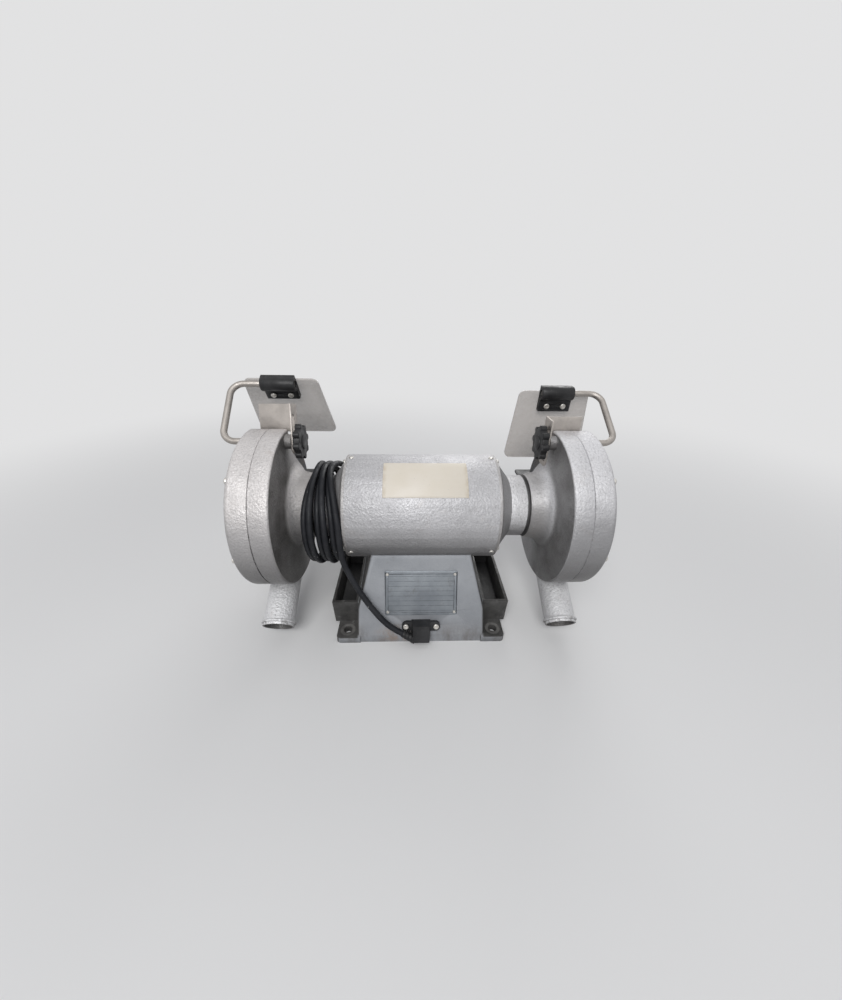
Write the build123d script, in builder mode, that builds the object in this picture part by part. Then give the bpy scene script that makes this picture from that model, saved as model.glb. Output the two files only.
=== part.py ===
from build123d import *
import math
import os

os.makedirs("parts", exist_ok=True)

# Bench grinder with two wheels. X runs along the spindle, Y points to the operator, Z is up.
# The origin lies on the bench, in the middle of the foot holes. Millimetres and degrees.

# Spindle and general fits
spindle_height = 163.0
running_gap = 0.05
seat_gap = 0.1
slide_gap = 0.3

# Screw heads: shares of the shank's radius or of the head's height
slot_width_share = 0.5
slot_depth_share = 0.4
head_round_share = 0.45

# Pedestal
foot_width = 230.0
foot_depth = 190.0
foot_thickness = 9.0
foot_corner = 6.0
foot_hole_radius = 5.25
foot_hole_inset_x = 14.0
foot_hole_inset_y = 15.0
column_width = 175.0
column_depth = 187.3
column_corner = 5.0
column_shoulder_width = 172.0
column_shoulder_height = 45.0
column_top_width = 135.0
column_lean = 18.0
column_wall = 5.0
saddle_drop = 45.0
roof_thickness = 11.0
tray_inner = 84.0
tray_outer = 122.0
tray_length = 132.0
tray_top = 47.0
tray_draft = 3.0
tray_wall = 3.5
tray_floor = 4.0
tray_clear_of_column = 5.5
wire_hole_radius = 7.0

# Bottom cover
cover_plate_thickness = 2.0
cover_plate_recess = 3.0
cover_plate_lip = 5.0
cover_post_radius = 7.0
cover_post_length = 26.0
cover_post_inset = 6.0
small_screw_radius = 2.0
small_head_radius = 3.8
small_head_height = 2.2
small_screw_length = 12.0

# Motor
motor_radius = 70.0
motor_length = 188.0
motor_wall = 4.0
tie_screw_radius = 2.5
tie_head_radius = 3.9
tie_head_height = 3.4
tie_circle_radius = 63.8
tie_boss_radius = 5.0
tie_boss_length = 22.0
tie_screw_length = 16.0
tie_angles = (90.0, 210.0, 330.0)
stator_length = 64.0
stator_bore_radius = 38.0
air_gap = 0.5
rotor_overhang = 1.5
winding_inner_radius = 43.0
winding_outer_radius = 61.0
winding_length = 24.0
winding_corner = 7.0
saddle_screw_spacing = 84.0
saddle_screw_length = 15.5

# Bearings and shaft
shaft_radius = 12.0
journal_radius = 10.0
thread_radius = 8.0
bearing_radius = 23.5
bearing_width = 14.0
bearing_inboard = 122.0
inner_ring_thickness = 3.6
outer_ring_thickness = 3.3
ball_count = 8
ball_gap = 0.1

# End shields
shield_ring_width = 3.5
shield_ring_inset = 0.5
spigot_length = 6.0
spigot_thickness = 6.0
cone_root_inset = 4.0
neck_start = 116.0
neck_radius = 42.0
neck_end = 136.5
groove_width = 4.5
groove_depth = 4.0
cone_wall_root = 8.0
web_thickness = 4.8
shaft_hole_gap = 1.0

# Guards
guard_radius = 105.5
guard_wall = 3.5
guard_inner_face = 168.5
guard_outer_face = 218.0
guard_seam = 191.5
guard_seam_gap = 0.2
guard_seam_chamfer = 0.6
guard_inner_edge_radius = 3.0
guard_outer_edge_radius = 6.0
hub_nose_radius = 43.0
hub_waist_radius = 46.0
hub_waist = 155.0
flare_end_angle = 80.0
hub_web = 6.0
hub_wall = 5.0
guard_bolt_circle = 28.0
guard_bolt_radius = 3.0
guard_bolt_head_radius = 5.6
guard_bolt_head_height = 4.0
guard_bolt_length = 20.0
guard_bolt_angles = (30.0, 150.0, 270.0)
mouth_top_y = 8.0
mouth_corner_z = 78.0
mouth_back_y = 58.0
mouth_back_z = 20.0
mouth_floor_z = -46.0
mouth_corner_radius = 12.0
post_radius = 4.5
post_sink = 1.5
post_angles = (135.0, 190.0, 290.0)
cover_screw_radius = 2.5
cover_screw_head_radius = 4.4
cover_screw_head_height = 3.0
cover_screw_depth = 14.0
cover_screw_seat = 1.7

# Wheels
wheel_radius = 87.5
wheel_width = 25.0
wheel_inboard = 176.0
wheel_edge = 1.0
flange_radius = 36.0
flange_relief_radius = 25.0
flange_relief = 1.0
flange_boss_radius = 13.0
inner_flange_width = 7.0
outer_flange_width = 5.0
nut_across_flats = 24.0
nut_height = 7.0
shaft_stub = 0.5

# Dust outlets
outlet_x = 190.0
outlet_end_y = -91.4
outlet_drop = 134.1
outlet_dip = 31.6
outlet_radius = 20.0
outlet_bore_radius = 17.5
outlet_length = 110.0
outlet_bead_radius = 2.0
outlet_bead_from_end = 5.0

# Shield rods, knobs and spark arrestors
rod_radius = 4.0
rod_y = -4.0
rod_over_spindle = 93.0
rod_arm = 83.0
rod_reach = 247.0
rod_bend = 16.0
rod_thread_end = 150.5
rod_end_inset = 2.0
rod_lift = {"left": 43.8, "right": 34.4}
boss_radius = 9.0
boss_length = 8.2
cover_boss_radius = 8.0
cover_boss_length = 6.5
sheet = 2.0
arrestor_ahead = 14.0
arrestor_outer = 204.0
arrestor_height = 34.0
arrestor_rise_left = 45.5
arrestor_rise_right = 29.4
arrestor_lean = {"left": 15.0, "right": 0.0}
flange_behind = 7.0
flange_height = 60.0
slot_top_margin = 12.0
slot_bottom_margin = 6.0
flange_corner = 6.0
knob_hub_radius = 9.0
knob_hub_length = 3.1
knob_disc_radius = 18.0
knob_disc_width = 8.0
knob_lobe_radius = 4.2
knob_lobes = 8
knob_edge = 1.0

# Eye shields
clamp_inner = 165.0
clamp_outer = 209.0
clamp_bead_radius = 9.0
clamp_flange_end = 25.0
clamp_flange_back = 1.0
clamp_face = 7.0
clamp_screw_down = 17.5
clamp_screw_margin = 10.5
clamp_screw_radius = 2.0
clamp_screw_head_radius = 3.8
clamp_screw_head_height = 2.6
clamp_nut_height = 3.0
pane_centre = 186.5
pane_top_width = 97.0
pane_bottom_width = 115.0
pane_above_rod = 1.0
pane_below_rod = 101.0
pane_thickness = 3.0
pane_corner = 9.0
pane_drop = {"left": 58.5, "right": 85.0}

# Tool rests
rest_bolt_y = 52.0
rest_bolt_z = -62.0
rest_bolt_radius = 4.0
rest_bolt_head_radius = 8.0
rest_bolt_head_height = 2.4
rest_washer_radius = 10.0
rest_washer_thickness = 1.6
rest_nut_radius = 7.5
rest_nut_height = 6.5
rest_bolt_stub = 2.0
rest_sheet = 3.0
rest_travel = 12.0
rest_arm_margin = 10.0
rest_arm_front = 104.0
rest_riser_depth = 24.0
rest_table_gap = 2.5
rest_table_depth = 40.0
rest_table_drop = 3.0
rest_table_outer = 222.0
rest_table_corner = 4.0

# Rear plate, sticker and cord clamp
plate_width = 97.0
plate_height = 63.5
plate_thickness = 0.8
plate_corner = 2.0
plate_up = 71.2
rivet_spacing_x = 90.0
rivet_spacing_y = 54.0
rivet_head_radius = 2.3
rivet_head_height = 1.2
rivet_radius = 1.3
rivet_depth = 4.0
rivet_taper = 25.0
sticker_width = 104.0
sticker_centre = 4.0
sticker_start_angle = 143.5
sticker_end_angle = 101.5
sticker_thickness = 0.3
sticker_gap = 0.15
relief_width = 52.0
relief_flange_height = 13.0
relief_flange_thickness = 5.0
relief_up = 25.0
relief_screw_spacing = 41.0
relief_block_width = 26.0
relief_block_bottom = 5.0
relief_block_top = 33.0
relief_block_proud = 15.5
relief_block_taper = 8.0
relief_sleeve_up = 4.5
relief_sleeve_tilt = 27.0
relief_sleeve_proud = 8.5
relief_sleeve_length = 28.0
relief_sleeve_start = 9.0
relief_sleeve_root_radius = 6.6
relief_sleeve_tip_radius = 4.8
relief_grooves = 3
relief_groove_width = 1.6
relief_groove_depth = 0.9

# Switch
switch_below_top = 69.0
switch_width = 52.0
switch_height = 76.0
switch_proud = 11.0
switch_corner = 6.0
switch_body_width = 40.0
switch_body_height = 50.0
switch_body_depth = 22.0
switch_floor = 3.0
button_width = 30.0
button_height = 23.0
button_corner = 4.0
button_spacing = 29.0
button_proud = 4.0
button_rest_gap = 3.5
switch_screw_spacing = 67.0
switch_screw_length = 18.0

# Inside the pedestal
capacitor_radius = 19.0
capacitor_length = 72.0
capacitor_y = 28.0
terminal_width = 60.0
terminal_depth = 22.0
terminal_height = 18.0
terminal_y = -38.0
terminal_ways = 5
terminal_screw_radius = 2.6
terminal_screw_depth = 6.0

# Mains lead: points of its first stretch as distances along X and up the rear face
cord_diameter = 7.8
cord_bend_share = 0.45
lead_first_run = 18.0
lead_route = ((-61.3, 48.2), (-80.0, 76.0), (-91.0, 97.0))
lead_last_run = 24.0
coil_first_turn = 0.72
coil_turns = 5.43
coil_middle = -124.5
coil_top_shift = -3.5
coil_pitch = 8.5
coil_top_pitch = 4.3
coil_clear = 1.7
coil_layer_step = 8.4
coil_hang = 24.0
coil_belly = 3.0
coil_points_per_turn = 4
coil_tangent_step = 0.0001
tail_first_run = 28.0
tail_bend = (-140.0, 83.0, 150.0)
tail_end = (-138.0, 86.5, 126.0)
plug_length = 38.0
plug_radius = 18.0
plug_edge = 3.0
plug_neck_length = 24.0
plug_neck_radius = 5.6
plug_shoulder_radius = 10.0
plug_pin_radius = 2.4
plug_pin_length = 19.0
plug_pin_spacing = 19.0

# Values worked out from those above
lean_slope = math.tan(math.radians(column_lean))
foot_hole_spacing_x = foot_width - 2 * foot_hole_inset_x
foot_hole_spacing_y = foot_depth - 2 * foot_hole_inset_y
column_top = spindle_height - saddle_drop
switch_up = column_top / math.cos(math.radians(column_lean)) - switch_below_top
motor_end = motor_length / 2
motor_bore_radius = motor_radius - motor_wall
ring_end = motor_end + shield_ring_width
groove_end = neck_end + groove_width
web_end = groove_end + hub_web
guard_bore_radius = guard_radius - guard_wall
guard_back = guard_inner_face + guard_wall
guard_front = guard_outer_face - guard_wall
wheel_outboard = wheel_inboard + wheel_width
post_circle = guard_bore_radius - post_radius + post_sink
rod_z = spindle_height + rod_over_spindle
boss_end = guard_inner_face - boss_length
flange_face = boss_end - slide_gap
arrestor_inner = flange_face - sheet
knob_face = arrestor_inner - slide_gap
cord_radius = cord_diameter / 2
clamp_screw_spacing = clamp_outer - clamp_inner - 2 * clamp_screw_margin
sides = {"left": -1, "right": 1}
arrestor_rise = {"left": arrestor_rise_left, "right": arrestor_rise_right}
spindle_axis = Axis((0, 0, spindle_height), (1, 0, 0))


def save(builder, name):
    """Label a finished piece and write it to its own file."""
    builder.part.label = name
    export_step(builder.part, f"parts/{name}.step")


def spindle_plane():
    """Plane through the spindle: local x along X, local y the radius, upwards."""
    return Plane((0, 0, spindle_height), x_dir=(1, 0, 0), z_dir=(0, -1, 0))


def side_plane(x):
    """Plane square to the spindle at x: local x along Y, local y the height over the spindle."""
    return Plane((x, 0, spindle_height), x_dir=(0, 1, 0), z_dir=(1, 0, 0))


def column_half_depth(z):
    """Half depth of the pedestal column at a height."""
    return column_depth / 2 - z * lean_slope


def rear_plane(up):
    """Plane on the rear leaning face, at a distance up the slope; its normal points outwards."""
    lean = math.radians(column_lean)
    y = -column_depth / 2 + up * math.sin(lean)
    return Plane((0, y, up * math.cos(lean)), x_dir=(1, 0, 0), z_dir=(0, -math.cos(lean), math.sin(lean)))


def front_plane(up):
    """Plane on the front leaning face, at a distance up the slope; its normal points outwards."""
    lean = math.radians(column_lean)
    y = column_depth / 2 - up * math.sin(lean)
    return Plane((0, y, up * math.cos(lean)), x_dir=(-1, 0, 0), z_dir=(0, math.cos(lean), math.sin(lean)))


def ring(inner, outer, start, end):
    """Hollow cylinder round the spindle between two stations."""
    with BuildPart() as piece:
        with BuildSketch(side_plane(start)):
            Circle(outer)
            Circle(inner, mode=Mode.SUBTRACT)
        extrude(amount=end - start)
    return piece.part


def mirrored(part):
    """The same piece on the other side of the machine."""
    with BuildPart() as piece:
        mirror(part, about=Plane.YZ)
    return piece.part


def polar(radius, angle):
    """Point on a circle, as local x and y."""
    turn = math.radians(angle)
    return (radius * math.cos(turn), radius * math.sin(turn))


def build_pedestal():
    shoulder_depth = 2 * column_half_depth(column_shoulder_height)
    top_depth = 2 * column_half_depth(column_top)
    cavity_top = spindle_height - motor_radius - roof_thickness
    taper = (column_shoulder_width - column_top_width) / (column_top - column_shoulder_height)
    cavity_top_width = column_shoulder_width - taper * (cavity_top - column_shoulder_height)
    lean_wall = column_wall / math.cos(math.radians(column_lean))
    with BuildPart() as pedestal:
        with BuildSketch():
            RectangleRounded(foot_width, foot_depth, foot_corner)
        extrude(amount=foot_thickness)
        for face in (rear_plane(0), front_plane(0)):
            with BuildSketch(face):
                Rectangle(column_width - 2 * column_corner, 4 * foot_thickness)
            extrude(amount=foot_thickness, mode=Mode.SUBTRACT)
        for side in sides.values():
            middle = side * (tray_inner + tray_outer) / 2
            width = tray_outer - tray_inner
            with BuildSketch(Plane((middle, 0, foot_thickness))):
                Rectangle(width - tray_draft, tray_length - tray_draft)
            with BuildSketch(Plane((middle, 0, tray_top))):
                Rectangle(width, tray_length)
            loft()
        with BuildSketch():
            RectangleRounded(column_width, column_depth, column_corner)
        with BuildSketch(Plane.XY.offset(column_shoulder_height)):
            RectangleRounded(column_shoulder_width, shoulder_depth, column_corner)
        loft()
        with BuildSketch(Plane.XY.offset(column_shoulder_height)):
            RectangleRounded(column_shoulder_width, shoulder_depth, column_corner)
        with BuildSketch(Plane.XY.offset(column_top)):
            RectangleRounded(column_top_width, top_depth, column_corner)
        loft()
        # Hollow inside, open at the bottom
        with BuildSketch():
            Rectangle(column_width - 2 * column_wall, column_depth - 2 * lean_wall)
        with BuildSketch(Plane.XY.offset(column_shoulder_height)):
            Rectangle(column_shoulder_width - 2 * column_wall, shoulder_depth - 2 * lean_wall)
        loft(mode=Mode.SUBTRACT)
        with BuildSketch(Plane.XY.offset(column_shoulder_height)):
            Rectangle(column_shoulder_width - 2 * column_wall, shoulder_depth - 2 * lean_wall)
        with BuildSketch(Plane.XY.offset(cavity_top)):
            Rectangle(cavity_top_width - 2 * column_wall, 2 * (column_half_depth(cavity_top) - lean_wall))
        loft(mode=Mode.SUBTRACT)
        # Recess for the bottom cover and the posts that it is screwed to
        with BuildSketch():
            Rectangle(*cover_plate_size(seat_gap))
        extrude(amount=cover_plate_recess + cover_plate_thickness, mode=Mode.SUBTRACT)
        with BuildSketch(Plane.XY.offset(cover_plate_recess + cover_plate_thickness)):
            with GridLocations(*cover_post_spacing(), 2, 2):
                Circle(cover_post_radius)
        extrude(amount=cover_post_length)
        with BuildSketch(Plane.XY.offset(cover_plate_recess)):
            with GridLocations(*cover_post_spacing(), 2, 2):
                Circle(small_screw_radius + running_gap)
        extrude(amount=small_screw_length + running_gap, mode=Mode.SUBTRACT)
        # Open side trays
        for side in sides.values():
            inner = tray_inner + tray_clear_of_column
            outer = tray_outer - tray_wall
            with BuildSketch(Plane((side * (inner + outer) / 2, 0, tray_top))):
                Rectangle(outer - inner, tray_length - 2 * tray_wall)
            floor = foot_thickness + tray_floor
            with BuildSketch(Plane((side * (inner + outer) / 2, 0, floor))):
                Rectangle(outer - inner - tray_draft, tray_length - 2 * tray_wall - tray_draft)
            loft(mode=Mode.SUBTRACT)
        # Saddle for the motor, its screws and the hole for the wires
        with BuildSketch(side_plane(-motor_end)):
            Circle(motor_radius + seat_gap)
        extrude(amount=motor_length, mode=Mode.SUBTRACT)
        with BuildSketch(Plane.XY.offset(cavity_top - roof_thickness)):
            with GridLocations(saddle_screw_spacing, 1, 2, 1):
                Circle(small_screw_radius + running_gap)
            Circle(wire_hole_radius)
        extrude(amount=2 * roof_thickness + motor_wall, mode=Mode.SUBTRACT)
        with BuildSketch():
            with GridLocations(foot_hole_spacing_x, foot_hole_spacing_y, 2, 2):
                Circle(foot_hole_radius)
        extrude(amount=foot_thickness, mode=Mode.SUBTRACT)
        # Openings for the switch and the lead, and holes for what is fixed to the leaning faces
        with BuildSketch(front_plane(switch_up)):
            Rectangle(switch_body_width + 2 * seat_gap, switch_body_height + 2 * seat_gap)
        extrude(amount=-2 * column_wall, mode=Mode.SUBTRACT)
        with BuildSketch(front_plane(switch_up)):
            with GridLocations(1, switch_screw_spacing, 1, 2):
                Circle(small_screw_radius + running_gap)
        extrude(amount=-2 * column_wall, mode=Mode.SUBTRACT)
        with BuildSketch(rear_plane((relief_block_bottom + relief_block_top) / 2)):
            Circle(cord_radius)
        extrude(amount=-2 * column_wall, mode=Mode.SUBTRACT)
        with BuildSketch(rear_plane(relief_up)):
            with GridLocations(relief_screw_spacing, 1, 2, 1):
                Circle(small_screw_radius + running_gap)
        extrude(amount=-2 * column_wall, mode=Mode.SUBTRACT)
        with BuildSketch(rear_plane(plate_up)):
            with GridLocations(rivet_spacing_x, rivet_spacing_y, 2, 2):
                Circle(rivet_radius + running_gap)
        extrude(amount=-rivet_depth - running_gap, mode=Mode.SUBTRACT)
    save(pedestal, "pedestal")


def cover_plate_size(gap):
    """Width and depth of the bottom cover, grown by a gap all round."""
    lean_wall = column_wall / math.cos(math.radians(column_lean))
    width = column_width - 2 * column_wall + cover_plate_lip
    depth = column_depth - 2 * lean_wall + cover_plate_lip
    return (width + 2 * gap, depth + 2 * gap)


def cover_post_spacing():
    """Distances between the posts of the bottom cover, in the corners of the hollow."""
    width, depth = cover_plate_size(0)
    inset = 2 * (cover_plate_lip / 2 + cover_post_inset)
    return (width - inset, depth - inset - 2 * lean_slope * cover_post_length)


def screw(plane, radius, length, head_radius, head_height):
    """Pan-head screw: its head stands on the plane and its shank runs into it, with a slot."""
    with BuildPart() as piece:
        with BuildSketch(plane):
            Circle(head_radius)
        extrude(amount=head_height)
        fillet(piece.edges().group_by(Axis(plane.origin, plane.z_dir))[-1], head_height * head_round_share)
        with BuildSketch(plane.offset(head_height)):
            Rectangle(2 * head_radius, radius * slot_width_share)
        extrude(amount=-head_height * slot_depth_share, mode=Mode.SUBTRACT)
        with BuildSketch(plane):
            Circle(radius)
        extrude(amount=-length)
    return piece.part


def screws(name, planes, radius, length, head_radius, head_height):
    """A set of identical screws as one node of separate solids."""
    with BuildPart() as group:
        for plane in planes:
            add(screw(plane, radius, length, head_radius, head_height))
    save(group, name)


def shifted(plane, x, y):
    """The plane moved within itself."""
    return Plane(plane.from_local_coords(Vector(x, y, 0)), x_dir=plane.x_dir, z_dir=plane.z_dir)


def grid_planes(plane, spacing_x, spacing_y, count_x, count_y):
    """Planes at the points of a grid on a plane."""
    found = []
    for column in range(count_x):
        for row in range(count_y):
            x = (column - (count_x - 1) / 2) * spacing_x
            y = (row - (count_y - 1) / 2) * spacing_y
            found.append(shifted(plane, x, y))
    return found


def build_bottom_cover():
    with BuildPart() as base_cover:
        with BuildSketch(Plane.XY.offset(cover_plate_recess)):
            Rectangle(*cover_plate_size(0))
            with GridLocations(*cover_post_spacing(), 2, 2):
                Circle(small_screw_radius + seat_gap, mode=Mode.SUBTRACT)
        extrude(amount=cover_plate_thickness)
    save(base_cover, "base_cover")
    floor = cover_plate_recess + cover_plate_thickness
    with BuildPart() as capacitor:
        end = (-capacitor_length / 2, capacitor_y, floor + capacitor_radius)
        with BuildSketch(Plane(end, z_dir=(1, 0, 0))):
            Circle(capacitor_radius)
        extrude(amount=capacitor_length)
        fillet(capacitor.edges(), cover_plate_thickness)
        with BuildSketch(Plane((0, capacitor_y, floor))):
            Rectangle(capacitor_length / 2, capacitor_radius)
        extrude(amount=capacitor_radius)
    save(capacitor, "capacitor")
    with BuildPart() as terminal_block:
        with BuildSketch(Plane((0, terminal_y, floor))):
            Rectangle(terminal_width, terminal_depth)
        extrude(amount=terminal_height)
        with BuildSketch(Plane((0, terminal_y, floor + terminal_height))):
            with GridLocations(terminal_width / terminal_ways, terminal_depth / 2, terminal_ways, 2):
                Circle(terminal_screw_radius)
        extrude(amount=-terminal_screw_depth, mode=Mode.SUBTRACT)
    save(terminal_block, "terminal_block")


def build_motor():
    with BuildPart() as motor_body:
        add(ring(motor_bore_radius, motor_radius, -motor_end, motor_end))
        for side in sides.values():
            with BuildSketch(side_plane(side * (motor_end - spigot_length - seat_gap))):
                with Locations(*[polar(tie_circle_radius, angle) for angle in tie_angles]):
                    Circle(tie_boss_radius)
                Circle(motor_bore_radius - 2 * tie_boss_radius, mode=Mode.SUBTRACT)
            extrude(amount=-side * tie_boss_length)
            with BuildSketch(side_plane(side * motor_end)):
                with Locations(*[polar(tie_circle_radius, angle) for angle in tie_angles]):
                    Circle(tie_screw_radius + running_gap)
            extrude(amount=-side * (tie_screw_length - shield_ring_width + running_gap), mode=Mode.SUBTRACT)
        with BuildSketch(Plane.XY.offset(spindle_height - motor_radius - motor_wall)):
            Circle(wire_hole_radius)
            with GridLocations(saddle_screw_spacing, 1, 2, 1):
                Circle(small_screw_radius + running_gap)
        extrude(amount=3 * motor_wall, mode=Mode.SUBTRACT)
    save(motor_body, "motor_body")
    with BuildPart() as stator_core:
        add(ring(stator_bore_radius, motor_bore_radius - running_gap, -stator_length / 2, stator_length / 2))
    save(stator_core, "stator_core")
    with BuildPart() as stator_windings:
        for side in sides.values():
            with BuildSketch(spindle_plane()):
                middle = (winding_inner_radius + winding_outer_radius) / 2
                depth = winding_outer_radius - winding_inner_radius
                with Locations((side * (stator_length + winding_length) / 2, middle)):
                    RectangleRounded(winding_length, depth, winding_corner)
            revolve(axis=spindle_axis)
    save(stator_windings, "stator_windings")
    rotor_end = stator_length / 2 + rotor_overhang
    with BuildPart() as rotor:
        add(ring(shaft_radius, stator_bore_radius - air_gap, -rotor_end, rotor_end))
    save(rotor, "rotor")


def build_shaft():
    journal_start = bearing_inboard
    seat_end = wheel_outboard
    tip = wheel_outboard + outer_flange_width + nut_height + shaft_stub
    with BuildPart() as shaft:
        with BuildSketch(spindle_plane()):
            with BuildLine():
                Polyline(
                    (-tip, 0),
                    (-tip, thread_radius),
                    (-seat_end, thread_radius),
                    (-seat_end, journal_radius),
                    (-journal_start, journal_radius),
                    (-journal_start, shaft_radius),
                    (journal_start, shaft_radius),
                    (journal_start, journal_radius),
                    (seat_end, journal_radius),
                    (seat_end, thread_radius),
                    (tip, thread_radius),
                    (tip, 0),
                    close=True,
                )
            make_face()
        revolve(axis=spindle_axis)
    save(shaft, "shaft")


def build_bearings():
    outer_race = bearing_radius - outer_ring_thickness
    inner_race = journal_radius + inner_ring_thickness
    ball_circle = (outer_race + inner_race) / 2
    ball_radius = (outer_race - inner_race) / 2 + ball_gap * 4
    groove = ball_radius + ball_gap
    bearing_end = bearing_inboard + bearing_width
    middle = (bearing_inboard + bearing_end) / 2
    with BuildPart() as bearing_outer_rings:
        for side in sides.values():
            add(ring(outer_race, bearing_radius, side * bearing_inboard, side * bearing_end))
            with BuildSketch(spindle_plane()):
                with Locations((side * middle, ball_circle)):
                    Circle(groove)
            revolve(axis=spindle_axis, mode=Mode.SUBTRACT)
    save(bearing_outer_rings, "bearing_outer_rings")
    with BuildPart() as bearing_inner_rings:
        for side in sides.values():
            add(ring(journal_radius, inner_race, side * bearing_inboard, side * bearing_end))
            with BuildSketch(spindle_plane()):
                with Locations((side * middle, ball_circle)):
                    Circle(groove)
            revolve(axis=spindle_axis, mode=Mode.SUBTRACT)
    save(bearing_inner_rings, "bearing_inner_rings")
    with BuildPart() as bearing_balls:
        for side in sides.values():
            for index in range(ball_count):
                y, z = polar(ball_circle, index * 360 / ball_count)
                with Locations((side * middle, y, spindle_height + z)):
                    Sphere(ball_radius)
    save(bearing_balls, "bearing_balls")


def build_end_shields():
    bearing_end = bearing_inboard + bearing_width
    housing_radius = bearing_radius + running_gap
    cone_root = motor_radius - cone_root_inset
    with BuildPart() as end_shield:
        with BuildSketch(spindle_plane()):
            with BuildLine():
                Polyline(
                    (motor_end - spigot_length, motor_bore_radius - seat_gap - spigot_thickness),
                    (motor_end - spigot_length, motor_bore_radius - seat_gap),
                    (motor_end, motor_bore_radius - seat_gap),
                    (motor_end, motor_radius - shield_ring_inset),
                    (ring_end, motor_radius - shield_ring_inset),
                    (ring_end, cone_root),
                    (neck_start, neck_radius),
                    (neck_end, neck_radius),
                    (neck_end, neck_radius - groove_depth),
                    (groove_end, neck_radius - groove_depth),
                    (groove_end, shaft_radius + shaft_hole_gap),
                    (bearing_end, shaft_radius + shaft_hole_gap),
                    (bearing_end, housing_radius),
                    (bearing_inboard, housing_radius),
                    (bearing_inboard, neck_radius - 2 * web_thickness),
                    (ring_end, cone_root - cone_wall_root),
                    close=True,
                )
            make_face()
        revolve(axis=spindle_axis)
        heads = [polar(tie_circle_radius, angle) for angle in tie_angles]
        with BuildSketch(side_plane(ring_end)):
            with Locations(*heads):
                Circle(tie_head_radius + slide_gap)
        extrude(amount=3 * tie_head_height, mode=Mode.SUBTRACT)
        with BuildSketch(side_plane(motor_end - spigot_length)):
            with Locations(*heads):
                Circle(tie_screw_radius + seat_gap)
        extrude(amount=spigot_length + shield_ring_width, mode=Mode.SUBTRACT)
        with BuildSketch(side_plane(groove_end)):
            with Locations(*[polar(guard_bolt_circle, angle) for angle in guard_bolt_angles]):
                Circle(guard_bolt_radius + running_gap)
        extrude(amount=-(guard_bolt_length - hub_web + running_gap), mode=Mode.SUBTRACT)
    save(end_shield, "end_shield_right")
    with BuildPart() as opposite:
        add(mirrored(end_shield.part))
    save(opposite, "end_shield_left")


def mouth_outline():
    """Corners of the guard's open front, from its top edge round to its floor."""
    far = 2 * guard_radius
    return [
        (mouth_top_y, far),
        (mouth_top_y, mouth_corner_z),
        (mouth_back_y, mouth_back_z),
        (mouth_back_y, mouth_floor_z),
        (far, mouth_floor_z),
        (far, far),
    ]


def outlet_plane():
    """Plane across the end of the dust outlet; its normal points out of the mouth."""
    dip = math.radians(outlet_dip)
    normal = (0, -math.cos(dip), -math.sin(dip))
    end = (outlet_x, outlet_end_y, spindle_height - outlet_drop)
    return Plane(end, x_dir=(1, 0, 0), z_dir=normal)


def guard_openings():
    """Solid that is cut from both guard pieces: the open front and the dust outlet's bore."""
    with BuildPart() as openings:
        with BuildSketch(side_plane(groove_end)) as outline:
            Polygon(*mouth_outline(), align=None)
            for corner in mouth_outline()[1:4]:
                fillet(outline.vertices().sort_by_distance(corner)[0], mouth_corner_radius)
        extrude(amount=guard_outer_face)
        with BuildSketch(outlet_plane()):
            Circle(outlet_bore_radius)
        extrude(amount=-outlet_length)
    return openings.part


def build_guards():
    with BuildPart() as guard:
        with BuildSketch(spindle_plane()) as profile:
            with BuildLine():
                flare = Line((groove_end, hub_nose_radius), (hub_waist, hub_waist_radius))
                root = JernArc(flare @ 1, flare % 1, flare_radius(), flare_end_angle - flare_start_angle())
                Polyline(
                    root @ 1,
                    (guard_inner_face, guard_radius),
                    (guard_seam, guard_radius),
                    (guard_seam, guard_bore_radius),
                    (guard_back, guard_bore_radius),
                    (guard_back, hub_waist_radius - hub_wall),
                    (web_end, hub_nose_radius - hub_wall),
                    (web_end, shaft_radius + shaft_hole_gap),
                    (groove_end, shaft_radius + shaft_hole_gap),
                    flare @ 0,
                )
            make_face()
            rim_corner = profile.vertices().sort_by_distance((guard_inner_face, guard_radius))
            fillet(rim_corner[0], guard_inner_edge_radius)
            seam_corner = profile.vertices().sort_by_distance((guard_seam, guard_radius))
            chamfer(seam_corner[0], guard_seam_chamfer)
        revolve(axis=spindle_axis)
        with BuildSketch(side_plane(guard_back)):
            with Locations(*[polar(post_circle, angle) for angle in post_angles]):
                Circle(post_radius)
        extrude(amount=guard_front - seat_gap - guard_back)
        with BuildSketch(side_plane(boss_end)):
            with Locations((rod_y, rod_over_spindle)):
                Circle(boss_radius)
        extrude(amount=boss_length)
        add(guard_openings(), mode=Mode.SUBTRACT)
        with BuildSketch(side_plane(boss_end)):
            with Locations((rod_y, rod_over_spindle)):
                Circle(rod_radius + running_gap)
        extrude(amount=boss_length + guard_wall, mode=Mode.SUBTRACT)
        with BuildSketch(side_plane(guard_inner_face)):
            with Locations((rest_bolt_y, rest_bolt_z)):
                Circle(rest_bolt_radius + seat_gap)
        extrude(amount=guard_wall, mode=Mode.SUBTRACT)
        with BuildSketch(side_plane(groove_end)):
            with Locations(*[polar(guard_bolt_circle, angle) for angle in guard_bolt_angles]):
                Circle(guard_bolt_radius + seat_gap)
        extrude(amount=hub_web, mode=Mode.SUBTRACT)
        with BuildSketch(side_plane(guard_front - seat_gap)):
            with Locations(*[polar(post_circle, angle) for angle in post_angles]):
                Circle(cover_screw_radius + running_gap)
        extrude(amount=-cover_screw_depth, mode=Mode.SUBTRACT)
    save(guard, "guard_right")
    with BuildPart() as opposite:
        add(mirrored(guard.part))
    save(opposite, "guard_left")


def flare_start_angle():
    """Slope of the hub's outline where it starts to flare."""
    return math.degrees(math.atan2(hub_waist_radius - hub_nose_radius, hub_waist - groove_end))


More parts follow.
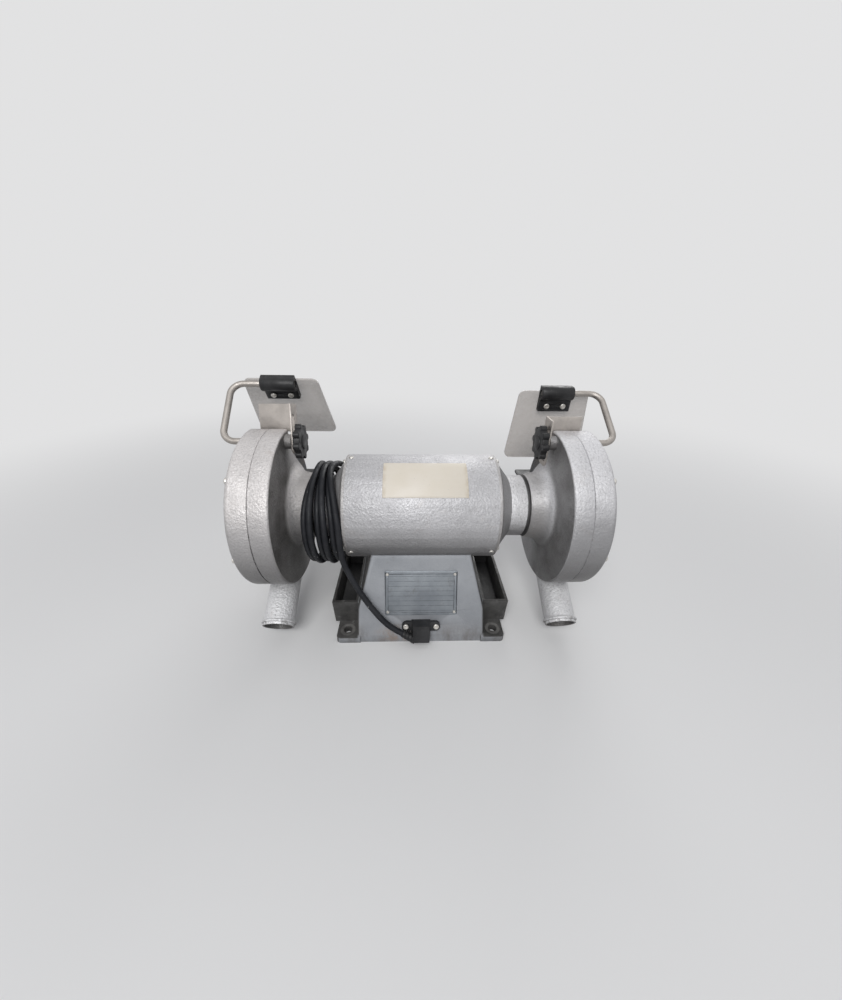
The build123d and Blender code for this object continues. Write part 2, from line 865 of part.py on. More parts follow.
def flare_radius():
    """Radius of the flare that ends on the guard's inner face."""
    end = math.sin(math.radians(flare_end_angle))
    start = math.sin(math.radians(flare_start_angle()))
    return (guard_inner_face - hub_waist) / (end - start)


def build_guard_covers():
    start = guard_seam + guard_seam_gap
    with BuildPart() as cover:
        with BuildSketch(spindle_plane()) as profile:
            with BuildLine():
                Polyline(
                    (start, guard_bore_radius),
                    (start, guard_radius),
                    (guard_outer_face, guard_radius),
                    (guard_outer_face, 0),
                    (guard_front, 0),
                    (guard_front, guard_bore_radius),
                    close=True,
                )
            make_face()
            rim_corner = profile.vertices().sort_by_distance((guard_outer_face, guard_radius))
            fillet(rim_corner[0], guard_outer_edge_radius)
            inside_corner = profile.vertices().sort_by_distance((guard_front, guard_bore_radius))
            fillet(inside_corner[0], guard_outer_edge_radius - guard_wall)
            seam_corner = profile.vertices().sort_by_distance((start, guard_radius))
            chamfer(seam_corner[0], guard_seam_chamfer)
        revolve(axis=spindle_axis)
        with BuildSketch(side_plane(guard_front - cover_boss_length)):
            with Locations((rod_y, rod_over_spindle)):
                Circle(cover_boss_radius)
        extrude(amount=cover_boss_length + guard_wall)
        with BuildSketch(side_plane(guard_outer_face)):
            Circle(2 * guard_radius)
            Circle(guard_radius, mode=Mode.SUBTRACT)
        extrude(amount=-cover_boss_length - guard_wall, mode=Mode.SUBTRACT)
        add(guard_openings(), mode=Mode.SUBTRACT)
        with BuildSketch(side_plane(guard_front - cover_boss_length)):
            with Locations((rod_y, rod_over_spindle)):
                Circle(rod_radius + running_gap)
        extrude(amount=cover_boss_length + guard_wall, mode=Mode.SUBTRACT)
        with BuildSketch(side_plane(guard_seam)):
            with Locations(*[polar(post_circle, angle) for angle in post_angles]):
                Circle(post_radius + seat_gap)
        extrude(amount=guard_front - guard_seam, mode=Mode.SUBTRACT)
        with BuildSketch(side_plane(guard_front)):
            with Locations(*[polar(post_circle, angle) for angle in post_angles]):
                Circle(cover_screw_radius + seat_gap)
        extrude(amount=guard_wall, mode=Mode.SUBTRACT)
        with BuildSketch(side_plane(guard_outer_face - cover_screw_seat)):
            with Locations(*[polar(post_circle, angle) for angle in post_angles]):
                Circle(cover_screw_head_radius + slide_gap)
        extrude(amount=cover_screw_seat, mode=Mode.SUBTRACT)
    save(cover, "guard_cover_right")
    with BuildPart() as opposite:
        add(mirrored(cover.part))
    save(opposite, "guard_cover_left")


def build_wheels():
    with BuildPart() as wheel:
        add(ring(journal_radius, wheel_radius, wheel_inboard, wheel_outboard))
        rims = wheel.edges().filter_by(GeomType.CIRCLE).group_by(SortBy.RADIUS)[-1]
        chamfer(rims, wheel_edge)
    save(wheel, "wheel_right")
    with BuildPart() as opposite:
        add(mirrored(wheel.part))
    save(opposite, "wheel_left")
    spans = (
        (wheel_inboard - inner_flange_width, wheel_inboard, wheel_inboard, -1, journal_radius),
        (wheel_outboard, wheel_outboard + outer_flange_width, wheel_outboard, 1, thread_radius),
    )
    with BuildPart() as wheel_flanges:
        for side in sides.values():
            for start, end, face, outwards, bore in spans:
                add(ring(bore, flange_radius, side * start, side * end))
                with BuildSketch(side_plane(side * face)):
                    Circle(flange_relief_radius)
                    Circle(flange_boss_radius, mode=Mode.SUBTRACT)
                extrude(amount=side * outwards * flange_relief, mode=Mode.SUBTRACT)
    save(wheel_flanges, "wheel_flanges")
    nut_start = wheel_outboard + outer_flange_width
    with BuildPart() as spindle_nuts:
        for side in sides.values():
            with BuildSketch(side_plane(side * nut_start)):
                RegularPolygon(nut_across_flats / 2, 6, major_radius=False)
                Circle(thread_radius, mode=Mode.SUBTRACT)
            extrude(amount=side * nut_height)
    save(spindle_nuts, "spindle_nuts")


def build_dust_outlets():
    mouth = outlet_plane()
    bead_start = -outlet_bead_from_end - outlet_bead_radius
    bead_end = -outlet_bead_from_end + outlet_bead_radius
    with BuildPart() as outlet:
        with BuildSketch(Plane(mouth.origin, x_dir=mouth.x_dir, z_dir=-mouth.y_dir)):
            with BuildLine():
                Polyline(
                    (outlet_radius, bead_start),
                    (outlet_radius, -outlet_length),
                    (outlet_bore_radius, -outlet_length),
                    (outlet_bore_radius, 0),
                    (outlet_radius, 0),
                    (outlet_radius, bead_end),
                )
                bead_top = (outlet_radius + outlet_bead_radius, -outlet_bead_from_end)
                ThreePointArc((outlet_radius, bead_end), bead_top, (outlet_radius, bead_start))
            make_face()
        revolve(axis=Axis(mouth.origin, mouth.z_dir))
        with BuildSketch(side_plane(guard_inner_face - guard_wall)):
            Circle(guard_radius + seat_gap)
        extrude(amount=guard_outer_face - guard_inner_face + 2 * guard_wall, mode=Mode.SUBTRACT)
    save(outlet, "dust_outlet_right")
    with BuildPart() as opposite:
        add(mirrored(outlet.part))
    save(opposite, "dust_outlet_left")


def rod_top(name):
    """Height and depth of the rod's upper end, which the eye shield hangs on."""
    lift = math.radians(rod_lift[name])
    return (rod_y + rod_arm * math.cos(lift), rod_z + rod_arm * math.sin(lift))


def build_shield_rod(name, side):
    lift = math.radians(rod_lift[name])
    out = Vector(side, 0, 0)
    arm = Vector(0, math.cos(lift), math.sin(lift))
    bend_plane = Plane((0, rod_y, rod_z), x_dir=out, z_dir=out.cross(arm))
    with BuildPart() as rod:
        with BuildLine(bend_plane) as route:
            FilletPolyline(
                (rod_thread_end, 0),
                (rod_reach, 0),
                (rod_reach, rod_arm),
                (clamp_inner + rod_end_inset, rod_arm),
                radius=rod_bend,
            )
        with BuildSketch(side_plane(side * rod_thread_end)):
            with Locations((rod_y, rod_over_spindle)):
                Circle(rod_radius)
        sweep(path=route.wires()[0])
    save(rod, f"shield_rod_{name}")


def build_knob(name, side):
    disc_start = knob_face - knob_hub_length
    disc_end = disc_start - knob_disc_width
    with BuildPart() as knob:
        with BuildSketch(side_plane(side * disc_start)):
            with Locations((rod_y, rod_over_spindle)):
                Circle(knob_disc_radius)
                with PolarLocations(knob_disc_radius, knob_lobes):
                    Circle(knob_lobe_radius)
        extrude(amount=-side * knob_disc_width)
        fillet(knob.edges().filter_by(Plane.YZ), knob_edge)
        with BuildSketch(side_plane(side * knob_face)):
            with Locations((rod_y, rod_over_spindle)):
                Circle(knob_hub_radius)
        extrude(amount=-side * (knob_hub_length + knob_edge))
        with BuildSketch(side_plane(side * knob_face)):
            with Locations((rod_y, rod_over_spindle)):
                Circle(rod_radius + running_gap)
        extrude(amount=-side * (knob_face - rod_thread_end + slide_gap), mode=Mode.SUBTRACT)
        with BuildSketch(side_plane(side * disc_end)):
            with Locations((rod_y, rod_over_spindle)):
                Circle(knob_disc_radius / 2)
        extrude(amount=-side * knob_edge)
    save(knob, f"knob_{name}")


def arrestor_plane(name, x):
    """Plane across the spindle, centred on the rod: local x ahead of the slot, local y up along it."""
    lean = math.radians(arrestor_lean[name])
    return Plane((x, rod_y, rod_z), x_dir=(0, math.cos(lean), -math.sin(lean)), z_dir=(1, 0, 0))


def build_arrestor(name, side):
    rise = arrestor_rise[name]
    slot_top = rise - slot_top_margin
    slot_bottom = rise - flange_height + slot_bottom_margin
    inner = arrestor_plane(name, side * arrestor_inner)
    with BuildPart() as arrestor:
        with BuildSketch(inner) as flange:
            with Locations(((arrestor_ahead + sheet - flange_behind) / 2, rise - flange_height / 2)):
                Rectangle(arrestor_ahead + sheet + flange_behind, flange_height)
            fillet(flange.vertices().group_by(Axis.Y)[0], flange_corner)
            with Locations((0, (slot_top + slot_bottom) / 2)):
                slot_width = 2 * (rod_radius + slide_gap)
                SlotOverall(slot_top - slot_bottom, slot_width, rotation=90, mode=Mode.SUBTRACT)
        extrude(amount=side * sheet)
        with BuildSketch(inner):
            with Locations((arrestor_ahead + sheet / 2, rise - arrestor_height / 2)):
                Rectangle(sheet, arrestor_height)
        extrude(amount=side * (arrestor_outer - arrestor_inner))
    save(arrestor, f"arrestor_{name}")


def pane_plane(name, side):
    """Plane square to the rod's upper end: local x down the pane, local y to the pane's front."""
    drop = math.radians(pane_drop[name])
    y, z = rod_top(name)
    down = Vector(0, math.cos(drop), -math.sin(drop))
    return Plane((side * clamp_inner, y, z), x_dir=down, z_dir=(side, 0, 0))


def build_shield(name, side):
    hinge = pane_plane(name, side)
    front = Vector(hinge.y_dir) if hinge.y_dir.Y > 0 else -Vector(hinge.y_dir)
    flip = 1 if hinge.y_dir.Y > 0 else -1
    width = clamp_outer - clamp_inner
    middle = (clamp_inner + clamp_outer) / 2
    with BuildPart() as clamp:
        with BuildSketch(hinge):
            Circle(clamp_bead_radius)
            with Locations((0, flip * clamp_face / 2)):
                Rectangle(2 * clamp_bead_radius, clamp_face)
            with Locations((clamp_flange_end / 2, flip * (clamp_face - clamp_flange_back) / 2)):
                Rectangle(clamp_flange_end, clamp_face + clamp_flange_back)
            with Locations((0, flip * 2 * clamp_face)):
                Rectangle(4 * clamp_bead_radius, 2 * clamp_face, mode=Mode.SUBTRACT)
            Circle(rod_radius + running_gap, mode=Mode.SUBTRACT)
        extrude(amount=width)
        back = Plane(
            hinge.from_local_coords(Vector(clamp_screw_down, -flip * clamp_flange_back, width / 2)),
            x_dir=(1, 0, 0),
            z_dir=-front,
        )
        with BuildSketch(back):
            with GridLocations(clamp_screw_spacing, 1, 2, 1):
                Circle(clamp_screw_radius + running_gap)
        extrude(amount=-2 * clamp_face, mode=Mode.SUBTRACT)
    save(clamp, f"shield_clamp_{name}")
    face_centre = Vector(0, flip * clamp_face, pane_centre - clamp_inner)
    face = Plane(hinge.from_local_coords(face_centre), x_dir=(1, 0, 0), z_dir=front)
    down = 1 if face.y_dir.dot(hinge.x_dir) > 0 else -1
    with BuildPart() as pane:
        with BuildSketch(face) as outline:
            Polygon(
                (-pane_top_width / 2, -down * pane_above_rod),
                (pane_top_width / 2, -down * pane_above_rod),
                (pane_bottom_width / 2, down * pane_below_rod),
                (-pane_bottom_width / 2, down * pane_below_rod),
                align=None,
            )
            fillet(outline.vertices(), pane_corner)
            with Locations((side * (middle - pane_centre), down * clamp_screw_down)):
                with GridLocations(clamp_screw_spacing, 1, 2, 1):
                    Circle(clamp_screw_radius + seat_gap, mode=Mode.SUBTRACT)
        extrude(amount=pane_thickness)
    save(pane, f"eye_shield_{name}")
    with BuildPart() as clamp_screws:
        reach = clamp_face + clamp_flange_back + pane_thickness + clamp_nut_height
        for spot in grid_planes(back, clamp_screw_spacing, 1, 2, 1):
            add(screw(spot, clamp_screw_radius, reach, clamp_screw_head_radius, clamp_screw_head_height))
            with BuildSketch(spot.offset(-reach)):
                RegularPolygon(clamp_screw_head_radius, 6)
            extrude(amount=clamp_nut_height)
    save(clamp_screws, f"clamp_screws_{name}")


def build_tool_rest(name, side):
    outer = guard_inner_face - slide_gap
    inner = outer - rest_sheet
    slot_end = rest_bolt_y - rest_travel
    half_slot = rest_bolt_radius + slide_gap
    table_top = -rest_table_drop
    table_bottom = table_top - rest_sheet
    table_start = wheel_radius + rest_table_gap
    arm_top = rest_bolt_z + rest_arm_margin
    with BuildPart() as rest:
        with BuildSketch(side_plane(side * inner)):
            Polygon(
                (slot_end - rest_arm_margin, rest_bolt_z - rest_arm_margin),
                (rest_arm_front, rest_bolt_z - rest_arm_margin),
                (rest_arm_front, table_top),
                (rest_arm_front - rest_riser_depth, table_top),
                (rest_arm_front - rest_riser_depth, arm_top),
                (slot_end - rest_arm_margin, arm_top),
                align=None,
            )
            with Locations((rest_bolt_y - rest_travel / 2, rest_bolt_z)):
                SlotOverall(rest_travel + 2 * half_slot, 2 * half_slot, mode=Mode.SUBTRACT)
        extrude(amount=side * rest_sheet)
        table_middle = side * (inner + rest_table_outer) / 2
        with BuildSketch(Plane((table_middle, table_start, spindle_height + table_bottom))):
            with Locations((0, rest_table_depth / 2)):
                RectangleRounded(rest_table_outer - inner, rest_table_depth, rest_table_corner)
        extrude(amount=rest_sheet)
    save(rest, f"tool_rest_{name}")


def build_rest_bolts():
    arm_outer = guard_inner_face - slide_gap
    washer_face = arm_outer - rest_sheet - slide_gap
    nut_face = washer_face - rest_washer_thickness
    bolt_end = nut_face - rest_nut_height - rest_bolt_stub
    spot = (rest_bolt_y, rest_bolt_z)
    with BuildPart() as rest_bolts:
        for side in sides.values():
            with BuildSketch(side_plane(side * guard_back)):
                with Locations(spot):
                    Circle(rest_bolt_head_radius)
            extrude(amount=side * rest_bolt_head_height)
            with BuildSketch(side_plane(side * guard_back)):
                with Locations(spot):
                    Circle(rest_bolt_radius)
            extrude(amount=side * (bolt_end - guard_back))
            with BuildSketch(side_plane(side * washer_face)):
                with Locations(spot):
                    Circle(rest_washer_radius)
            extrude(amount=-side * rest_washer_thickness)
            with BuildSketch(side_plane(side * nut_face)):
                with Locations(spot):
                    RegularPolygon(rest_nut_radius, 6)
            extrude(amount=-side * rest_nut_height)
    save(rest_bolts, "rest_bolts")


def build_rear_fittings():
    with BuildPart() as nameplate:
        with BuildSketch(rear_plane(plate_up)):
            RectangleRounded(plate_width, plate_height, plate_corner)
            with GridLocations(rivet_spacing_x, rivet_spacing_y, 2, 2):
                Circle(rivet_radius + seat_gap, mode=Mode.SUBTRACT)
        extrude(amount=plate_thickness)
    save(nameplate, "nameplate")
    with BuildPart() as nameplate_rivets:
        front = rear_plane(plate_up).offset(plate_thickness)
        for spot in grid_planes(front, rivet_spacing_x, rivet_spacing_y, 2, 2):
            with BuildSketch(spot):
                Circle(rivet_head_radius)
            extrude(amount=rivet_head_height, taper=rivet_taper)
            with BuildSketch(spot):
                Circle(rivet_radius)
            extrude(amount=-plate_thickness - rivet_depth)
    save(nameplate_rivets, "nameplate_rivets")
    with BuildPart() as sticker:
        with BuildSketch(side_plane(sticker_centre - sticker_width / 2)):
            with BuildLine():
                inside = motor_radius + sticker_gap
                outside = inside + sticker_thickness
                span = sticker_end_angle - sticker_start_angle
                low_arc = CenterArc((0, 0), inside, sticker_start_angle, span)
                high_arc = CenterArc((0, 0), outside, sticker_start_angle, span)
                Line(low_arc @ 0, high_arc @ 0)
                Line(low_arc @ 1, high_arc @ 1)
            make_face()
        extrude(amount=sticker_width)
    save(sticker, "sticker")


def sleeve_plane(along):
    """Plane across the cord sleeve at a distance along it; its normal runs out of the sleeve."""
    face = rear_plane(relief_sleeve_up)
    tilt = math.radians(relief_sleeve_tilt)
    way = face.x_dir * -math.cos(tilt) + face.y_dir * math.sin(tilt)
    return Plane(face.origin + face.z_dir * relief_sleeve_proud + way * along, z_dir=way)


def build_strain_relief():
    with BuildPart() as strain_relief:
        with BuildSketch(rear_plane(relief_up)):
            SlotOverall(relief_width, relief_flange_height)
            with GridLocations(relief_screw_spacing, 1, 2, 1):
                Circle(small_screw_radius + seat_gap, mode=Mode.SUBTRACT)
        extrude(amount=relief_flange_thickness)
        block_middle = (relief_block_bottom + relief_block_top) / 2
        with BuildSketch(rear_plane(block_middle)):
            Rectangle(relief_block_width, relief_block_top - relief_block_bottom)
        extrude(amount=relief_block_proud, taper=relief_block_taper)
        with BuildSketch(sleeve_plane(relief_sleeve_start)):
            Circle(relief_sleeve_root_radius)
        with BuildSketch(sleeve_plane(relief_sleeve_length)):
            Circle(relief_sleeve_tip_radius)
        loft()
        free_length = relief_sleeve_length - relief_sleeve_start
        taper = (relief_sleeve_root_radius - relief_sleeve_tip_radius) / free_length
        for index in range(relief_grooves):
            step = (index + 1) * free_length / (relief_grooves + 1)
            along = relief_sleeve_start + step
            here = relief_sleeve_root_radius - taper * step
            with BuildSketch(sleeve_plane(along)):
                Circle(relief_sleeve_root_radius)
                Circle(here - relief_groove_depth, mode=Mode.SUBTRACT)
            extrude(amount=relief_groove_width, mode=Mode.SUBTRACT)
        below = rear_plane(relief_up)
        with BuildSketch(below):
            Rectangle(2 * relief_width, 2 * relief_width)
        extrude(amount=-relief_width, mode=Mode.SUBTRACT)
    save(strain_relief, "strain_relief")


def build_switch():
    face = front_plane(switch_up)
    pocket = switch_proud - switch_floor
    top = face.offset(switch_proud)
    with BuildPart() as switch_housing:
        with BuildSketch(face):
            RectangleRounded(switch_width, switch_height, switch_corner)
        extrude(amount=switch_proud)
        with BuildSketch(face):
            Rectangle(switch_body_width, switch_body_height)
        extrude(amount=-switch_body_depth)
        with BuildSketch(top):
            with GridLocations(1, button_spacing, 1, 2):
                RectangleRounded(button_width + 2 * slide_gap, button_height + 2 * slide_gap, button_corner)
        extrude(amount=-pocket, mode=Mode.SUBTRACT)
        with BuildSketch(face):
            with GridLocations(1, switch_screw_spacing, 1, 2):
                Circle(small_screw_radius + seat_gap)
        extrude(amount=switch_proud, mode=Mode.SUBTRACT)
    save(switch_housing, "switch_housing")
    spots = grid_planes(top, 1, button_spacing, 1, 2)
    for name, spot in zip(("stop_button", "start_button"), spots):
        with BuildPart() as button:
            with BuildSketch(spot.offset(button_proud)):
                RectangleRounded(button_width, button_height, button_corner)
            extrude(amount=-(button_proud + pocket - button_rest_gap))
            fillet(button.faces().sort_by(Axis(spot.origin, spot.z_dir))[-1].edges(), button_corner / 4)
        save(button, name)


def coil_point(turn):
    """Point of the winding's centre line after a number of turns, counted from a pass over the top."""
    angle = 2 * math.pi * turn
    top = max(0.0, math.cos(angle)) ** 2
    pitch = coil_pitch - (coil_pitch - coil_top_pitch) * top
    x = coil_middle + coil_top_shift * top - pitch * (turn - coil_first_turn - coil_turns / 2)
    layer = coil_layer_step / 2 * (1 - math.cos(math.pi * turn))
    hang = coil_hang / 2 * (1 - math.cos(angle)) + coil_belly * math.sin(angle) ** 2
    radius = neck_radius + coil_clear + cord_radius + layer + hang
    return Vector(x, radius * math.sin(angle), spindle_height + radius * math.cos(angle))


def coil_direction(turn):
    """Unit tangent of the winding's centre line."""
    return (coil_point(turn + coil_tangent_step) - coil_point(turn - coil_tangent_step)).normalized()


def biarc(start, start_direction, end, end_direction):
    """Two arcs that leave the start and meet the end along the given directions."""
    chord = end - start
    both = start_direction + end_direction
    bend = 2 * (1 - start_direction.dot(end_direction))
    along = chord.dot(both)
    reach = (math.sqrt(along * along + bend * chord.dot(chord)) - along) / bend
    joint = (start + start_direction * reach + end - end_direction * reach) / 2
    middle = (end - end_direction * reach - start - start_direction * reach).normalized()
    TangentArc(start, joint, tangent=start_direction)
    TangentArc(joint, end, tangent=middle)


def coil_ends():
    """The winding's straight ends: where the lead joins it and where the plug's neck joins it."""
    last = coil_first_turn + coil_turns
    start = coil_point(coil_first_turn)
    end = coil_point(last)
    return (
        start - coil_direction(coil_first_turn) * cord_diameter,
        start,
        end,
        end + coil_direction(last) * cord_diameter,
    )


def build_winding():
    entry, start, end, leave = coil_ends()
    steps = round(coil_turns * coil_points_per_turn)
    turns = [coil_first_turn + coil_turns * step / steps for step in range(steps + 1)]
    with BuildPart() as cord_winding:
        with BuildLine() as route:
            Line(entry, start)
            for here, there in zip(turns, turns[1:]):
                biarc(coil_point(here), coil_direction(here), coil_point(there), coil_direction(there))
            Line(end, leave)
        path = route.wires()[0]
        with BuildSketch(Plane(entry, z_dir=coil_direction(coil_first_turn))):
            Circle(cord_radius)
        sweep(path=path)
    save(cord_winding, "cord_winding")
    least = least_gap(path)
    section = math.pi * cord_radius**2
    print("winding length", round(path.length, 1), "least gap to itself", round(least, 2))
    print("winding volume / section x length", round(cord_winding.part.volume / (section * path.length), 4))


def bend_radii(points):
    """Radius at each inner corner of a cord's route that keeps some of every run straight."""
    found = []
    for before, corner, after in zip(points, points[1:], points[2:]):
        arriving = corner - before
        leaving = after - corner
        half_turn = math.radians(arriving.get_angle(leaving)) / 2
        found.append(cord_bend_share * min(arriving.length, leaving.length) / math.tan(half_turn))
    return found


def build_cord(name, points):
    """A free stretch of cord along straight runs joined by tangent arcs."""
    radii = bend_radii(points)
    with BuildPart() as cord:
        with BuildLine() as route:
            FilletPolyline(*points, radius=radii)
        path = route.wires()[0]
        with BuildSketch(Plane(points[0], z_dir=points[1] - points[0])):
            Circle(cord_radius)
        sweep(path=path)
    save(cord, name)
    section = math.pi * cord_radius**2
    print(name, "length", round(path.length, 1), "radii", [round(radius, 1) for radius in radii])
    print(name, "volume / section x length", round(cord.part.volume / (section * path.length), 4))


def lead_points():
    """Corners of the lead between the cord clamp and the winding."""
    entry = coil_ends()[0]
    start = sleeve_plane(relief_sleeve_length).origin
    second = sleeve_plane(relief_sleeve_length + lead_first_run).origin
    corners = [rear_plane(up).from_local_coords(Vector(x, 0, relief_sleeve_proud)) for x, up in lead_route]
    return [start, second, *corners, entry - coil_direction(coil_first_turn) * lead_last_run, entry]


def tail_points():
    """Corners of the tail between the winding and the plug."""
    leave = coil_ends()[3]
    last = coil_first_turn + coil_turns
    return [leave, leave + coil_direction(last) * tail_first_run, Vector(*tail_bend), Vector(*tail_end)]


def build_plug():
    way = (Vector(*tail_end) - Vector(*tail_bend)).normalized()
    neck = Plane(tail_end, z_dir=way)
    body = neck.offset(plug_neck_length)
    face = body.offset(plug_length)
    with BuildPart() as plug:
        with BuildSketch(body):
            Circle(plug_radius)
        extrude(amount=plug_length)
        fillet(plug.edges().filter_by(GeomType.CIRCLE), plug_edge)
        with BuildSketch(neck):
            Circle(plug_neck_radius)
        with BuildSketch(body):
            Circle(plug_shoulder_radius)
        loft()
    save(plug, "plug")
    with BuildPart() as plug_pins:
        for spot in grid_planes(face, plug_pin_spacing, 1, 2, 1):
            with BuildSketch(spot):
                Circle(plug_pin_radius)
            extrude(amount=plug_pin_length)
        tips = plug_pins.faces().group_by(Axis(face.origin, face.z_dir))[-1]
        fillet(tips.edges(), plug_pin_radius / 2)
    save(plug_pins, "plug_pins")


def outward_planes(x, circle, angles):
    """Planes facing out of both ends of the machine, at points on a circle round the spindle."""
    found = []
    for side in sides.values():
        for angle in angles:
            y, z = polar(circle, angle)
            found.append(Plane((side * x, y, spindle_height + z), x_dir=(0, 1, 0), z_dir=(side, 0, 0)))
    return found


def build_screws():
    small = (small_head_radius, small_head_height)
    cavity_top = spindle_height - motor_radius - roof_thickness
    below = Plane((0, 0, cover_plate_recess), x_dir=(1, 0, 0), z_dir=(0, 0, -1))
    under_saddle = Plane((0, 0, cavity_top), x_dir=(1, 0, 0), z_dir=(0, 0, -1))
    relief = rear_plane(relief_up).offset(relief_flange_thickness)
    switch = front_plane(switch_up).offset(switch_proud)
    cover_posts = grid_planes(below, *cover_post_spacing(), 2, 2)
    saddle = grid_planes(under_saddle, saddle_screw_spacing, 1, 2, 1)
    relief_holes = grid_planes(relief, relief_screw_spacing, 1, 2, 1)
    switch_holes = grid_planes(switch, 1, switch_screw_spacing, 1, 2)
    ties = outward_planes(ring_end, tie_circle_radius, tie_angles)
    bolts = outward_planes(web_end, guard_bolt_circle, guard_bolt_angles)
    covers = outward_planes(guard_outer_face - cover_screw_seat, post_circle, post_angles)
    bolt_head = (guard_bolt_head_radius, guard_bolt_head_height)
    cover_head = (cover_screw_head_radius, cover_screw_head_height)
    screws("base_cover_screws", cover_posts, small_screw_radius, small_screw_length, *small)
    screws("saddle_screws", saddle, small_screw_radius, saddle_screw_length, *small)
    screws("strain_relief_screws", relief_holes, small_screw_radius, small_screw_length, *small)
    screws("switch_screws", switch_holes, small_screw_radius, switch_screw_length, *small)
    screws("tie_screws", ties, tie_screw_radius, tie_screw_length, tie_head_radius, tie_head_height)
    screws("guard_bolts", bolts, guard_bolt_radius, guard_bolt_length, *bolt_head)
    screws("cover_screws", covers, cover_screw_radius, cover_screw_depth, *cover_head)


def least_gap(path):
    """Least gap between the turns of a tube, measured on points along its centre line."""
    count = int(path.length / cord_radius)
    points = [path.position_at(index / count) for index in range(count + 1)]
    apart = round(math.pi * neck_radius / cord_radius)
    nearest = min(
        (points[second] - points[first]).length
        for first in range(count + 1)
        for second in range(first + apart, count + 1)
    )
    return nearest - cord_diameter


build_pedestal()
build_bottom_cover()
build_motor()
build_shaft()
build_bearings()
build_end_shields()
build_guards()
build_guard_covers()
build_wheels()
build_dust_outlets()
for side_name, side_sign in sides.items():
    build_shield_rod(side_name, side_sign)
    build_knob(side_name, side_sign)
    build_arrestor(side_name, side_sign)
    build_shield(side_name, side_sign)
    build_tool_rest(side_name, side_sign)
build_rest_bolts()
build_rear_fittings()
build_strain_relief()
build_switch()
build_winding()
build_cord("cord_lead", lead_points())
build_cord("cord_tail", tail_points())
build_plug()
build_screws()
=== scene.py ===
import math

import bmesh
import bpy
from mathutils import Matrix, Vector


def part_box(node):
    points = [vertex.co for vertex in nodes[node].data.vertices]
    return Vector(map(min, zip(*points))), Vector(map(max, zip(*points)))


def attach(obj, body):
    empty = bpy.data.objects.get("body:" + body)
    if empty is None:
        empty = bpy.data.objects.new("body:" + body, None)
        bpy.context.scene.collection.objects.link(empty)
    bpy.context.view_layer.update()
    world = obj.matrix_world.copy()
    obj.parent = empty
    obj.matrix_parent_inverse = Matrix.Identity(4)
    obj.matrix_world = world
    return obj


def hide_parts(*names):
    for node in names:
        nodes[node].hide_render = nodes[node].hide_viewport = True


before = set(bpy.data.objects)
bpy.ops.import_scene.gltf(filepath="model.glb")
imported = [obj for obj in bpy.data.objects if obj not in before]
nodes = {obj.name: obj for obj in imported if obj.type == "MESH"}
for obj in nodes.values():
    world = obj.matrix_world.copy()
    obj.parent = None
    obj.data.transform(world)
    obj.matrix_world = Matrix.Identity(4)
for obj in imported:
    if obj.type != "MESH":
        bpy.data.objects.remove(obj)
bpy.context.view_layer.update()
scene = bpy.context.scene


# Sizes and places in millimetres, read from the frame where a node's box tells them

MM = 0.001
SIDES = ("left", "right")


def corners(node):
    """Low and high corner of a node's box."""
    low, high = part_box(node)
    return low / MM, high / MM


def middle(node):
    """Middle of a node's box."""
    low, high = corners(node)
    return (low + high) / 2


SPINDLE = middle("shaft").z
BARREL_END = corners("motor_body")[1].x
BARREL_RADIUS = corners("motor_body")[1].y
SEAM_GAP = 0.2
SEAM = corners("guard_cover_right")[0].x - SEAM_GAP / 2
COLUMN_DEPTH = 187.3
LEAN = math.radians(18)


def add(name, data):
    """Put a new object into the scene."""
    obj = bpy.data.objects.new(name, data)
    scene.collection.objects.link(obj)
    return obj


# Helpers for shader nodes

def colour(value):
    return (*value, 1.0)


class Graph:
    """A node tree with short helpers that add nodes to it."""

    def __init__(self, tree):
        self.tree = tree

    def node(self, kind, **values):
        node = self.tree.nodes.new(kind)
        for key, value in values.items():
            setattr(node, key, value)
        return node

    def feed(self, socket, value):
        if isinstance(value, bpy.types.NodeSocket):
            self.tree.links.new(value, socket)
        else:
            socket.default_value = value

    def math(self, operation, a, b=0.0):
        node = self.node("ShaderNodeMath", operation=operation)
        self.feed(node.inputs[0], a)
        self.feed(node.inputs[1], b)
        return node.outputs["Value"]

    def product(self, first, *others):
        for other in others:
            first = self.math("MULTIPLY", first, other)
        return first

    def distance(self, a, b):
        """Length of a step that goes a one way and b square to it."""
        return self.math("SQRT", self.math("ADD", self.product(a, a), self.product(b, b)))

    def seen(self):
        """1 for rays from the camera, from gloss and through clear pieces."""
        rays = self.node("ShaderNodeLightPath").outputs
        seen = self.math("MAXIMUM", rays["Is Camera Ray"], rays["Is Glossy Ray"])
        return self.math("MAXIMUM", seen, rays["Is Transmission Ray"])


